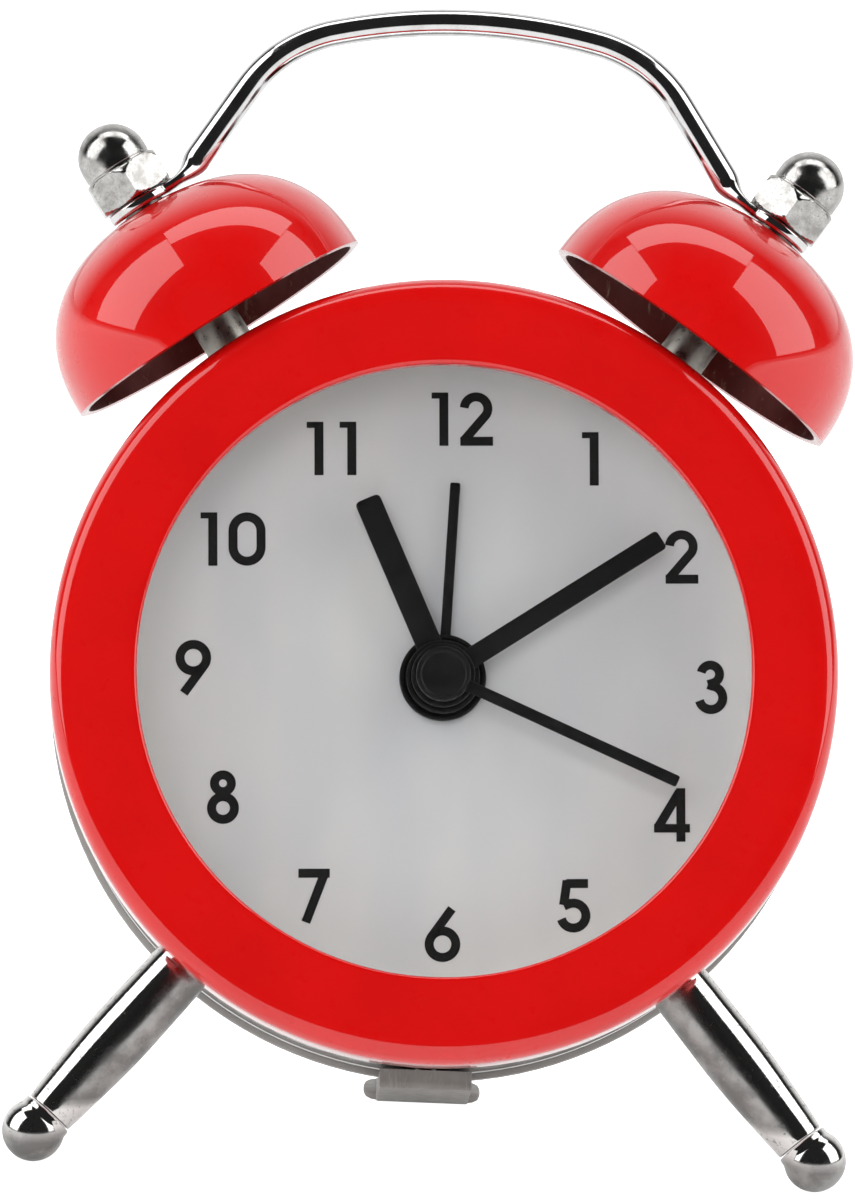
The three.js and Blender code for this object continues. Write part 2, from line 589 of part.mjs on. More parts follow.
// Wire bent into a flat arch with straight sides, its ends flattened into eyes under the acorn nuts.
function addHandle() {
  const eyeMiddle = EYE_BOTTOM + EYE_THICKNESS / 2;
  const out = new THREE.Vector2(Math.sin(radians(BELL_ANGLE)), Math.cos(radians(BELL_ANGLE)));
  const inwards = new THREE.Vector2(-out.y, out.x);
  const rise = WIRE_RADIUS - WIRE_SINK;
  const start = out.clone().multiplyScalar(eyeMiddle + rise).addScaledVector(inwards, HANDLE_TONGUE);
  const shoulder = new THREE.Vector2(start.x - HANDLE_INSET, start.y + HANDLE_RISE);
  const archRadius = (shoulder.x ** 2 + HANDLE_CROWN ** 2) / (2 * HANDLE_CROWN);
  const archCentre = shoulder.y + HANDLE_CROWN - archRadius;
  const archEnd = Math.PI / 2 - (shoulder.x - HANDLE_BEND) / archRadius;
  const side = start.clone().sub(shoulder).normalize();
  const bendEnd = shoulder.clone().addScaledVector(side, HANDLE_BEND);

  const half = new THREE.Path();
  half.absarc(0, archCentre, archRadius, Math.PI / 2, archEnd, true);
  half.quadraticCurveTo(shoulder.x, shoulder.y, bendEnd.x, bendEnd.y);
  half.lineTo(start.x, start.y);
  const right = half.getSpacedPoints(14).map(({ x, y }) => new THREE.Vector3(x, BELL_DEPTH, y));
  const left = right.slice(1).reverse().map(({ x, z }) => new THREE.Vector3(-x, BELL_DEPTH, z));
  const route = new THREE.CatmullRomCurve3([...left, ...right]);

  const section = new THREE.Shape();
  section.absarc(0, 0, WIRE_RADIUS, 0, Math.PI * 2);
  const wire = new THREE.ExtrudeGeometry(section, {
    extrudePath: route,
    steps: 30,
    curveSegments: WIRE_SIDES,
    bevelEnabled: false,
  });

  const ends = SIDES.map(([, sign]) => {
    const eye = tube(HOLE_RADIUS, EYE_RADIUS, EYE_BOTTOM, EYE_BOTTOM + EYE_THICKNESS, TURNED_SEGMENTS);
    const reach = HANDLE_TONGUE + WIRE_RADIUS * 0.6;
    const width = HANDLE_TONGUE_WIDTH / 2;
    const middle = (HOLE_RADIUS + reach) / 2 + SLIP;
    const tongue = block(-reach, reach - 2 * middle, -width, width, EYE_BOTTOM,
      EYE_BOTTOM + EYE_THICKNESS);
    if (sign < 0) {
      tongue.rotateY(Math.PI);
    }
    return moved(join(eye, tongue), outwards(sign * BELL_ANGLE, BELL_DEPTH));
  });
  piece('handle', join(wire, ...ends), CHROME);
}

// ---------------------------------------------------------------- hands
function addHand(name, boreRadius) {
  const { depth, length, width, angle, hub, front, back } = HANDS[name];
  const face = depth - front;
  const rear = depth + HAND_THICKNESS + back;
  const capped = boreRadius < MINUTE_PIPE[0];
  const hubProfile = capped
    ? [[0, face], [hub - HUB_BEVEL, face], [hub, face + HUB_BEVEL], [hub, rear], [boreRadius, rear],
      [boreRadius, depth - GAP], [0, depth - GAP]]
    : [[boreRadius, face], [hub - HUB_BEVEL, face], [hub, face + HUB_BEVEL], [hub, rear], [boreRadius, rear]];
  const arm = new THREE.Shape();
  const half = width / 2;
  const tip = half * 0.5;
  arm.moveTo(-half, (boreRadius + hub) / 2);
  arm.lineTo(half, (boreRadius + hub) / 2);
  arm.lineTo(half, length - tip);
  arm.lineTo(half - tip, length);
  arm.lineTo(tip - half, length);
  arm.lineTo(-half, length - tip);
  const hand = join(turned(hubProfile, TURNED_SEGMENTS), plate(arm, depth, depth + HAND_THICKNESS));
  piece(name, hand.rotateY(radians(angle)), BLACK_PLASTIC);
}

// How far forward a pipe or arbor reaches to carry its hand.
const pipeFront = (name) => HANDS[name].depth - HANDS[name].front - PIPE_LEAD;

// ---------------------------------------------------------------- gear train
const polar = (distance, degrees) => {
  return [distance * Math.cos(radians(degrees)), distance * Math.sin(radians(degrees))];
};
const beside = ([x, z], distance, degrees) => {
  const [dx, dz] = polar(distance, degrees);
  return [x + dx, z + dz];
};
const CENTRE = [0, 0];
const MOTION_DISTANCE = 4.8;
const TIME_SETTING_DISTANCE = 4.8;
const ALARM_SETTING_DISTANCE = 5;
const THIRD_DISTANCE = 4.6;
const INTERMEDIATE_DISTANCE = 4.8;
const ROTOR_DISTANCE = 3.6;
const MOTION_AT = polar(MOTION_DISTANCE, 135);
const TIME_SETTING_AT = beside(MOTION_AT, TIME_SETTING_DISTANCE, 180);
const ALARM_SETTING_AT = polar(ALARM_SETTING_DISTANCE, -20);
const THIRD_AT = polar(THIRD_DISTANCE, -90);
const INTERMEDIATE_AT = polar(INTERMEDIATE_DISTANCE, 30);
const ROTOR_AT = beside(INTERMEDIATE_AT, ROTOR_DISTANCE, 60);

// Two gears that mesh share one module, and the second is turned so that its gap meets the tooth.
function meshed(driver, teeth, level, centre, startTurn = 0) {
  const distance = Math.hypot(centre[0] - driver.centre[0], centre[1] - driver.centre[1]);
  const size = (2 * distance) / (driver.teeth + teeth);
  const towards = Math.atan2(centre[1] - driver.centre[1], centre[0] - driver.centre[0]);
  const first = { ...driver, module: size, turn: driver.turn ?? startTurn };
  const pitch = (2 * Math.PI) / first.teeth;
  const offset = (towards - first.turn) - Math.round((towards - first.turn) / pitch) * pitch;
  const turn = towards + Math.PI + (offset * first.teeth) / teeth + Math.PI / teeth;
  return [first, { teeth, level, centre, module: size, turn }];
}

function gear({ teeth, module: size, turn, level }, bore = 0) {
  const pitchRadius = (teeth * size) / 2;
  const radii = [pitchRadius + ADDENDUM * size, pitchRadius - DEDENDUM * size];
  const points = Array.from({ length: teeth * 2 }, (_, i) => {
    const angle = turn + (Math.PI * i) / teeth;
    return new THREE.Vector2(radii[i % 2] * Math.cos(angle), radii[i % 2] * Math.sin(angle));
  });
  const shape = new THREE.Shape(points);
  if (bore > 0) {
    shape.holes.push(new THREE.Path().absarc(0, 0, bore, 0, Math.PI * 2, true));
  }
  const front = PLATE_BACK + level;
  return plate(shape, front, front + WHEEL_THICKNESS);
}

const [rotorPinion, intermediateGear] = meshed(
  { teeth: 6, level: INTERMEDIATE_LEVEL, centre: ROTOR_AT }, 30, INTERMEDIATE_LEVEL, INTERMEDIATE_AT,
);
const [intermediatePinion, secondGear] = meshed(
  { teeth: 6, level: SECOND_LEVEL, centre: INTERMEDIATE_AT }, 36, SECOND_LEVEL, CENTRE,
);
const [secondPinion, thirdGear] = meshed(
  { teeth: 6, level: THIRD_LEVEL, centre: CENTRE }, 45, THIRD_LEVEL, THIRD_AT,
);
const [thirdPinion, minuteGear] = meshed(
  { teeth: 6, level: MINUTE_LEVEL, centre: THIRD_AT }, 48, MINUTE_LEVEL, CENTRE,
);
const [cannonPinion, motionGear] = meshed(
  { teeth: 8, level: MOTION_LEVEL, centre: CENTRE }, 24, MOTION_LEVEL, MOTION_AT,
);
const [, timeSettingGear] = meshed(motionGear, 8, MOTION_LEVEL, TIME_SETTING_AT);
const [motionPinion, hourGear] = meshed(
  { teeth: 6, level: HOUR_LEVEL, centre: MOTION_AT }, 24, HOUR_LEVEL, CENTRE,
);
const [alarmSettingGear, alarmGear] = meshed(
  { teeth: 8, level: ALARM_LEVEL, centre: ALARM_SETTING_AT }, 32, ALARM_LEVEL, CENTRE,
);

const pivotFront = PLATE_FRONT + PLATE_THICKNESS * 0.25;
const pivotBack = REAR_BACK - REAR_PLATE * 0.25;
const levelBack = (level) => PLATE_BACK + level + WHEEL_THICKNESS;

function addWheels() {
  const arbor = (radius) => rod(radius, pivotFront, pivotBack);
  const magnetFront = PLATE_BACK + STATOR_LEVEL;
  const magnet = rod(MAGNET_RADIUS, magnetFront, magnetFront + STATOR_THICKNESS, TURNED_SEGMENTS);
  piece('rotor', join(gear(rotorPinion), magnet, arbor(ARBOR)), MAGNET, at(ROTOR_AT));

  const intermediate = join(gear(intermediateGear), gear(intermediatePinion), arbor(ARBOR));
  piece('intermediate_wheel', intermediate, WHITE_PLASTIC, at(INTERMEDIATE_AT));

  const secondArbor = rod(SECOND_ARBOR, HANDS.second_hand.depth, pivotBack);
  piece('second_wheel', join(gear(secondGear), gear(secondPinion), secondArbor), WHITE_PLASTIC);

  piece('third_wheel', join(gear(thirdGear), arbor(ARBOR)), WHITE_PLASTIC, at(THIRD_AT));
  const sleeveBore = ARBOR + PRESS;
  const sleeveFront = levelBack(MINUTE_LEVEL) - PRESS;
  const sleeveBack = PLATE_BACK + THIRD_LEVEL - GAP;
  const sleeve = tube(sleeveBore, ARBOR + 0.25, sleeveFront, sleeveBack);
  piece('third_pinion', join(gear(thirdPinion, sleeveBore), sleeve), BRASS, at(THIRD_AT));

  const piped = (name, [inner, outer], gears, look) => {
    const hand = name.replace('wheel', 'hand');
    const back = Math.max(...gears.map(({ level }) => levelBack(level)));
    const pipe = tube(inner, outer, pipeFront(hand), back, TURNED_SEGMENTS);
    const bore = rod(inner, PLATE_FRONT, back + OVERSHOOT, TURNED_SEGMENTS);
    piece(name, join(pipe, ...gears.map((each) => cut(gear(each), bore))), look);
  };
  piped('minute_wheel', MINUTE_PIPE, [minuteGear, cannonPinion], BRASS);
  piped('hour_wheel', HOUR_PIPE, [hourGear], WHITE_PLASTIC);
  piped('alarm_wheel', ALARM_PIPE, [alarmGear], WHITE_PLASTIC);
  piece('motion_wheel', join(gear(motionGear), gear(motionPinion), arbor(MOTION_ARBOR)), WHITE_PLASTIC,
    at(MOTION_AT));

  const shaftBack = COVER_BACK + SHAFT_REACH;
  const shaft = rod(SETTING_SHAFT, pivotFront, shaftBack);
  piece('time_setting_pinion', join(gear(timeSettingGear), shaft), WHITE_PLASTIC, at(TIME_SETTING_AT));
  piece('alarm_setting_pinion', join(gear(alarmSettingGear), shaft), WHITE_PLASTIC,
    at(ALARM_SETTING_AT));

  const ribs = Array.from({ length: KNOB_RIBS * 2 }, (_, i) => {
    const angle = (Math.PI * i) / KNOB_RIBS;
    const radius = KNOB_RADIUS - (i % 2) * KNOB_RIB_DEPTH;
    return new THREE.Vector2(radius * Math.cos(angle), radius * Math.sin(angle));
  });
  const knobFront = COVER_BACK + KNOB_GAP;
  const grip = plate(new THREE.Shape(ribs), knobFront, knobFront + KNOB_LENGTH);
  const stem = rod(KNOB_STEM_RADIUS, REAR_BACK + KNOB_GAP, knobFront + KNOB_GAP);
  const knobBore = rod(SETTING_SHAFT + PRESS, REAR_BACK, shaftBack + GAP);
  const knob = cut(join(grip, stem), knobBore);
  piece('time_knob', knob, BLACK_PLASTIC, at(TIME_SETTING_AT));
  piece('alarm_knob', knob.clone(), BLACK_PLASTIC, at(ALARM_SETTING_AT));
}

// ---------------------------------------------------------------- movement
function addShells() {
  const { left, right, bottom, top } = BOX;
  const wall = cut(
    block(left, right, bottom, top, PLATE_BACK - GAP, BOX_BACK),
    block(left + BOX_WALL, right - BOX_WALL, bottom + BOX_WALL, top - BOX_WALL, PLATE_FRONT,
      BOX_BACK + OVERSHOOT),
  );
  const base = rod(PLATE_RADIUS, PLATE_FRONT, PLATE_BACK, CASE_SEGMENTS);
  const boss = (radius, spot, back) => moved(rod(radius, PLATE_BACK - GAP, back), at(spot));
  const coverScrews = [[-COVER_SCREW_X, COVER_SCREW_Z], [COVER_SCREW_X, COVER_SCREW_Z]];
  const pivots = [
    [THIRD_AT, ARBOR], [INTERMEDIATE_AT, ARBOR], [ROTOR_AT, ARBOR], [MOTION_AT, MOTION_ARBOR],
    [TIME_SETTING_AT, SETTING_SHAFT], [ALARM_SETTING_AT, SETTING_SHAFT],
  ];
  const bores = pivots.map(([spot, radius]) => moved(rod(radius + SLIP, 0, REAR_BACK + OVERSHOOT), at(spot)));
  const screwBores = CASE_SCREWS.map((spot) => {
    return moved(rod(CASE_SCREW_RADIUS + PRESS, PLATE_BACK + OVERSHOOT, REAR_BACK + OVERSHOOT), at(spot));
  });
  const front = join(
    base,
    wall,
    boss(BOSS_RADIUS, BOARD_BOSS, BOARD_FRONT - GAP),
    ...CASE_SCREWS.map((spot) => boss(BOSS_RADIUS, spot, BOX_BACK)),
    ...coverScrews.map((spot) => boss(COVER_BOSS_RADIUS, spot, COVER_INSIDE - GAP)),
  );
  const frontCut = cut(
    front,
    rod(ALARM_PIPE[1] + SLIP * 2, 0, PLATE_BACK + PRESS, TURNED_SEGMENTS),
    ...bores,
    ...screwBores,
    ...coverScrews.map((spot) => {
      const pilot = PLATE_BACK + COVER_SCREW_BITE - OVERSHOOT;
      return moved(rod(COVER_SCREW_RADIUS + SLIP, pilot, COVER_BACK), at(spot));
    }),
  );
  piece('movement_front_shell', frontCut, WHITE_PLASTIC);

  const lid = cut(
    block(left, right, bottom, top, REAR_FRONT, REAR_BACK),
    moved(rod(SECOND_ARBOR + SLIP, 0, REAR_BACK + OVERSHOOT), at(CENTRE)),
    ...bores,
    ...screwBores,
  );
  piece('movement_rear_shell', lid, WHITE_PLASTIC);

  const headFront = REAR_BACK + GAP;
  const caseScrew = turned([
    [0, PLATE_BACK + CASE_SCREW_BITE],
    [CASE_SCREW_RADIUS, PLATE_BACK + CASE_SCREW_BITE],
    [CASE_SCREW_RADIUS, headFront],
    [CASE_SCREW_RADIUS * 2, headFront],
    [CASE_SCREW_RADIUS * 2, headFront + CASE_SCREW_HEAD],
    [0, headFront + CASE_SCREW_HEAD],
  ], SMALL_SEGMENTS);
  CASE_SCREWS.forEach((spot, i) => piece(`case_screw_${i + 1}`, caseScrew, SATIN_STEEL, at(spot)));

  const coverHead = COVER_BACK + GAP;
  const coverScrew = turned([
    [0, PLATE_BACK + COVER_SCREW_BITE],
    [COVER_SCREW_RADIUS, PLATE_BACK + COVER_SCREW_BITE],
    [COVER_SCREW_RADIUS, coverHead],
    [COVER_SCREW_HEAD.radius, coverHead],
    [COVER_SCREW_HEAD.radius, coverHead + COVER_SCREW_HEAD.edge],
    [COVER_SCREW_HEAD.crown, coverHead + COVER_SCREW_HEAD.height],
    [0, coverHead + COVER_SCREW_HEAD.height],
  ], SMALL_SEGMENTS);
  SIDES.forEach(([side], i) => {
    piece(`cover_screw_${side}`, coverScrew, SATIN_STEEL, at(coverScrews[i]));
  });
}

function addElectronics() {
  const boardBack = BOARD_FRONT + BOARD_THICKNESS;
  const board = block(BOX.left + BOX_WALL + BOARD.side, BOARD.right, BOX.bottom + BOX_WALL + BOARD.foot,
    BOARD.top, BOARD_FRONT, boardBack);
  piece('circuit_board', board, BOARD_GREEN);
  const chipFront = boardBack + PRESS;
  piece('control_chip', block(CHIP.left, CHIP.right, CHIP.bottom, CHIP.top, chipFront,
    chipFront + CHIP.height), BLACK_PLASTIC);
  const can = rod(CRYSTAL.radius, CRYSTAL.bottom, CRYSTAL.top).rotateX(Math.PI / 2);
  piece('quartz_crystal', can.translate(CRYSTAL.x, boardBack + GAP + CRYSTAL.radius, 0), CHROME);

  const stator = PLATE_BACK + STATOR_LEVEL;
  const statorBack = stator + STATOR_THICKNESS;
  const bar = (left, right, bottom, top) => block(left, right, bottom, top, stator, statorBack);
  const lobe = moved(rod(LOBE_RADIUS, stator, statorBack, TURNED_SEGMENTS), at(ROTOR_AT));
  const rotorBore = rod(MAGNET_RADIUS + AIR_GAP, stator - OVERSHOOT, statorBack + OVERSHOOT,
    TURNED_SEGMENTS);
  const coilBarBottom = CORE.top - CORE.coilBar;
  const core = cut(
    join(
      lobe,
      bar(-CORE.half, CORE.lobeEnd, CORE.bottom, CORE.bottom + CORE.bar),
      bar(CORE.half - CORE.bar, CORE.half, CORE.lobeEnd, CORE.top),
      bar(-CORE.half, CORE.half, coilBarBottom, CORE.top),
      bar(-CORE.half, CORE.bar - CORE.half, CORE.bottom, CORE.top),
    ),
    moved(rotorBore, at(ROTOR_AT)),
  );
  piece('stator', core, SATIN_STEEL);
  const coilDepth = (stator + statorBack) / 2;
  const coilHeight = (coilBarBottom + CORE.top) / 2;
  const winding = cut(
    rod(COIL.radius, COIL.left, COIL.right, TURNED_SEGMENTS).rotateZ(-Math.PI / 2)
      .translate(0, coilDepth, coilHeight),
    block(COIL.left - OVERSHOOT, COIL.right + OVERSHOOT, coilBarBottom - GAP, CORE.top + GAP,
      stator - GAP, statorBack + GAP),
  );
  piece('coil', winding, COPPER);

  const buzzer = tube(BUZZER_MOUTH, BUZZER_RADIUS, PLATE_BACK + GAP, PLATE_BACK + BUZZER_HEIGHT,
    TURNED_SEGMENTS);
  piece('buzzer', moved(buzzer, at([0, BUZZER_Z])), BLACK_PLASTIC);

  const leafFront = PLATE_BACK + ALARM_LEVEL + WHEEL_THICKNESS + LEAF.thickness;
  const leafBack = leafFront + LEAF.thickness;
  const leaf = join(
    block(LEAF.left, LEAF.right, LEAF.bottom, LEAF.top, leafFront, leafBack),
    block(LEAF.right - LEAF.root, LEAF.right, LEAF.bottom, LEAF.top, PLATE_BACK + PRESS, leafBack),
  );
  piece('alarm_contact', leaf, BRASS);
}

function addBattery() {
  const spot = [0, BATTERY_Z];
  const cellBack = COVER_INSIDE - GAP;
  const cellFront = cellBack - CELL_HEIGHT;
  const capBack = cellFront + CELL_CAP_HEIGHT;
  const cell = turned([
    [0, cellFront],
    [CELL_CAP_RADIUS, cellFront],
    [CELL_CAP_RADIUS, capBack],
    [CELL_RADIUS, capBack],
    [CELL_RADIUS, cellBack],
    [0, cellBack],
  ], TURNED_SEGMENTS);
  piece('button_cell', cell, CHROME, at(spot));

  const floorBack = cellFront - CONTACT_THICKNESS - GAP * 2;
  const outer = BATTERY_RADIUS + HOLDER_WALL;
  const holder = turned([
    [BATTERY_RADIUS, PLATE_BACK + GAP],
    [outer, PLATE_BACK + GAP],
    [outer, COVER_INSIDE - GAP],
    [BATTERY_RADIUS, COVER_INSIDE - GAP],
    [BATTERY_RADIUS, floorBack],
    [0, floorBack],
    [0, floorBack - HOLDER_WALL],
    [BATTERY_RADIUS, floorBack - HOLDER_WALL],
  ], TURNED_SEGMENTS * 1.2);
  piece('battery_holder', holder, WHITE_PLASTIC, at(spot));

  const leafFront = floorBack + GAP;
  piece('contact_negative', block(-CELL_CAP_RADIUS, CELL_CAP_RADIUS, -CONTACT_WIDTH / 2,
    CONTACT_WIDTH / 2, leafFront, leafFront + CONTACT_THICKNESS), BRASS, at(spot));
  const strip = new THREE.Shape();
  const inner = CELL_RADIUS + GAP;
  const spread = radians(CONTACT_SPREAD / 2);
  strip.absarc(0, 0, inner + CONTACT_THICKNESS, -spread, spread, false);
  strip.absarc(0, 0, inner, spread, -spread, true);
  piece('contact_positive', plate(strip, capBack + GAP, cellBack - GAP, 6), BRASS, at(spot));
}

// ---------------------------------------------------------------- back
function addBack() {
  const spigot = DRUM_INSIDE - GAP;
  const recess = spigot - COVER_SPIGOT_WALL;
  const cover = turned([
    [0, COVER_INSIDE],
    [recess, COVER_INSIDE],
    [recess, COVER_SEAT - COVER_SPIGOT_DEPTH],
    [spigot, COVER_SEAT - COVER_SPIGOT_DEPTH],
    [spigot, COVER_SEAT],
    [COVER_RIM_RADIUS, COVER_SEAT],
    [COVER_RIM_RADIUS, COVER_BACK - COVER_EDGE],
    [COVER_RIM_RADIUS - COVER_EDGE, COVER_BACK],
    [0, COVER_BACK],
  ], CASE_SEGMENTS);
  const through = (geometry, spot) => moved(geometry, at(spot));
  const before = COVER_INSIDE - OVERSHOOT;
  const behind = COVER_BACK + OVERSHOOT;
  const knobHole = rod(KNOB_STEM_RADIUS + KNOB_HOLE, before, behind);
  const doorway = plate(roundedSquare(DOOR_SIZE + GAP * 3, DOOR_CORNER), before, behind, 3);
  const slot = block(
    -(SWITCH_NECK[0] + SWITCH_TRAVEL) / 2 - GAP, (SWITCH_NECK[0] + SWITCH_TRAVEL) / 2 + GAP,
    -SWITCH_NECK[1] / 2 - GAP, SWITCH_NECK[1] / 2 + GAP, before, behind,
  );
  const screwHole = rod(COVER_SCREW_RADIUS + SLIP * 2, before, behind);
  const soundHole = rod(SOUND_HOLE_RADIUS, before, behind, 8);
  const soundHoles = Array.from({ length: SOUND_HOLES }, (_, i) => {
    return through(soundHole, [(i - (SOUND_HOLES - 1) / 2) * SOUND_HOLE_PITCH, BUZZER_Z]);
  });
  const drilled = cut(
    cover,
    through(knobHole, TIME_SETTING_AT),
    through(knobHole, ALARM_SETTING_AT),
    through(doorway, [0, BATTERY_Z]),
    through(slot, SWITCH_AT),
    through(screwHole, [-COVER_SCREW_X, COVER_SCREW_Z]),
    through(screwHole, [COVER_SCREW_X, COVER_SCREW_Z]),
    ...soundHoles,
  );
  piece('back_cover', drilled, GREY_PLASTIC);

  const door = plate(roundedSquare(DOOR_SIZE, DOOR_CORNER), COVER_INSIDE, COVER_BACK, 3);
  piece('battery_door', door, GREY_PLASTIC, at([0, BATTERY_Z]));

  const centred = ([width, height], from, to) => {
    return block(-width / 2, width / 2, -height / 2, height / 2, from, to);
  };
  const restX = SWITCH_AT[0] - SWITCH_TRAVEL / 2;
  const plateBack = COVER_INSIDE - GAP;
  const buttonFront = COVER_BACK + GAP;
  const slide = join(
    centred(SWITCH_PLATE, plateBack - SWITCH_PLATE[2], plateBack),
    centred(SWITCH_NECK, plateBack - GAP, buttonFront + GAP),
    centred(SWITCH_BUTTON, buttonFront, buttonFront + SWITCH_BUTTON[2]),
  );
  piece('alarm_switch', slide, BLACK_PLASTIC, at([restX, SWITCH_AT[1]]));
}

// ---------------------------------------------------------------- the clock
addBezel();
addLensAndDial();
addDrum();
addLegs();
addRearFoot();
addBells();
addHandle();
addHand('second_hand', SECOND_ARBOR + PRESS);
addHand('minute_hand', MINUTE_PIPE[1] + PRESS);
addHand('hour_hand', HOUR_PIPE[1] + PRESS);
addHand('alarm_hand', ALARM_PIPE[1] + PRESS);
addWheels();
addShells();
addElectronics();
addBattery();
addBack();

clock.rotation.x = -radians(LEAN);
clock.updateMatrixWorld(true);
const box = new THREE.Box3().setFromObject(clock, true);
clock.position.set(0, -(box.min.y + box.max.y) / 2, -box.min.z);

export default clock;
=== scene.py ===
import json
from math import acos, atan2, cos, pi, radians, sin, sqrt

import bmesh
import bpy
from mathutils import Matrix, Vector


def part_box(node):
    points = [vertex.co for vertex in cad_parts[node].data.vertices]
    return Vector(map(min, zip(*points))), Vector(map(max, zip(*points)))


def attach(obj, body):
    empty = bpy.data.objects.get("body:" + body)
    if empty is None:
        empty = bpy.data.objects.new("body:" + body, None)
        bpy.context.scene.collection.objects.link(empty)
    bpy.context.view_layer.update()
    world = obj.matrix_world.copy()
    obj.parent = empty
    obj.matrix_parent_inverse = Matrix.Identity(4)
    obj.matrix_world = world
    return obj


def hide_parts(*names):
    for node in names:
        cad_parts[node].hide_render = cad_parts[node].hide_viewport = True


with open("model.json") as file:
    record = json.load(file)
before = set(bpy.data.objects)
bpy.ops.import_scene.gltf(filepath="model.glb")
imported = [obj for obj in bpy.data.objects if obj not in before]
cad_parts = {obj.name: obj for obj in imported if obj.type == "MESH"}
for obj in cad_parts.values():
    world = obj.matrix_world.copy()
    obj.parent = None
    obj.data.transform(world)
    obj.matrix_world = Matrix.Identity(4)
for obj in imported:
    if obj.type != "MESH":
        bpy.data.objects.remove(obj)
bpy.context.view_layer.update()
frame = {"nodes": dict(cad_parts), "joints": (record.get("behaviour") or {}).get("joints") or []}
scene = bpy.context.scene

# The clock's own axes: x to the right, y back from the front of the bezel, z up the dial, in
# millimetres. The hands turn on x = z = 0, and the whole case leans back on its rear foot.
JOINT_DEPTH = 0.013
hands_axis = next(joint for joint in frame["joints"] if joint["name"] == "minute_spin")
back = Vector(hands_axis["axis"]).normalized()
right = Vector((1, 0, 0))
up = right.cross(back)
bezel_front = Vector(hands_axis["pos_m"]) - back * JOINT_DEPTH
clock = Matrix.Translation(bezel_front) @ Matrix((right, back, up)).transposed().to_4x4()
clock = clock @ Matrix.Scale(0.001, 4)

# The table it stands on: one sheet of matt white card, lit until it burns out, and a long lens two
# metres in front, a little below the dial's own axis and to its left.
TABLE_RADIUS = 9
CARD_WHITE = 0.78
CARD_GLOW = 0.3
table_mesh = bpy.data.meshes.new("table")
table_edge = bmesh.new()
bmesh.ops.create_circle(table_edge, cap_ends=True, radius=TABLE_RADIUS, segments=64)
table_edge.to_mesh(table_mesh)
table_edge.free()
table = bpy.data.objects.new("table", table_mesh)
scene.collection.objects.link(table)
card = bpy.data.materials.new("white_card")
card.use_nodes = True
card_shader = card.node_tree.nodes["Principled BSDF"]
card_shader.inputs["Base Color"].default_value = (CARD_WHITE, CARD_WHITE, CARD_WHITE, 1)
card_shader.inputs["Roughness"].default_value = 0.9
card_shader.inputs["Specular IOR Level"].default_value = 0.1
card_shader.inputs["Emission Color"].default_value = (1, 1, 1, 1)
seen_by_lens = card.node_tree.nodes.new("ShaderNodeLightPath")
glow = card.node_tree.nodes.new("ShaderNodeMath")
glow.operation = "MAXIMUM"
glow.inputs[1].default_value = CARD_GLOW
card.node_tree.links.new(seen_by_lens.outputs["Is Camera Ray"], glow.inputs[0])
card.node_tree.links.new(glow.outputs[0], card_shader.inputs["Emission Strength"])
table_mesh.materials.append(card)

CAMERA_BELOW = radians(5.2)
CAMERA_LEFT = radians(0.9)
CAMERA_ROLL = radians(2.2)
CAMERA_DISTANCE = 2.0
LENS_LENGTH = 831.5
FILM_WIDTH = 36
AIM_RIGHT = -0.00123
AIM_UP = 0.00504
towards = (-back * cos(CAMERA_BELOW) - up * sin(CAMERA_BELOW)) * cos(CAMERA_LEFT)
towards -= right * sin(CAMERA_LEFT)
leaning_up = up * cos(CAMERA_ROLL) - right * sin(CAMERA_ROLL)
across = leaning_up.cross(towards).normalized()
upright = towards.cross(across)
aim = bezel_front + across * AIM_RIGHT + upright * AIM_UP
camera_back = bpy.data.cameras.new("camera")
camera_back.lens = LENS_LENGTH
camera_back.sensor_width = FILM_WIDTH
camera_back.clip_start = 0.01
camera = bpy.data.objects.new("camera", camera_back)
camera.matrix_world = Matrix.Translation(aim + towards * CAMERA_DISTANCE) @ Matrix(
    (across, upright, towards)).transposed().to_4x4()
scene.collection.objects.link(camera)
scene.camera = camera

# Three softboxes, tall ones left and right and a wide one overhead, in a room that is dark in
# front of the clock and white behind it, and a weak fill from in front.
LIT_POINT = Vector((0, 0, 0.04))
DARK_UNTIL = 0.45
WHITE_FROM = 0.8
DARKNESS = 0.02


def softbox(name, spot, width, height, brightness, reflected=True):
    """A lamp of that width and height in metres, aimed at the middle of the clock."""
    light = bpy.data.lights.new(name, "AREA")
    light.shape = "RECTANGLE"
    light.size = width
    light.size_y = height
    light.energy = brightness * pi * width * height
    lamp = bpy.data.objects.new(name, light)
    facing = Vector(spot) - LIT_POINT
    lamp.matrix_world = Matrix.Translation(spot) @ facing.to_track_quat("Z", "Y").to_matrix().to_4x4()
    lamp.visible_glossy = reflected
    lamp.visible_transmission = reflected
    scene.collection.objects.link(lamp)


softbox("softbox_left", (-1.15, -0.22, 0.72), 1.05, 1.45, 2.3)
softbox("softbox_right", (1.15, -0.22, 0.72), 1.05, 1.45, 2.3)
softbox("softbox_top", (0, 0.36, 1.3), 1.7, 0.5, 2.4)
softbox("fill", (-0.35, -1.7, 1.0), 1.3, 1.0, 3.5, False)

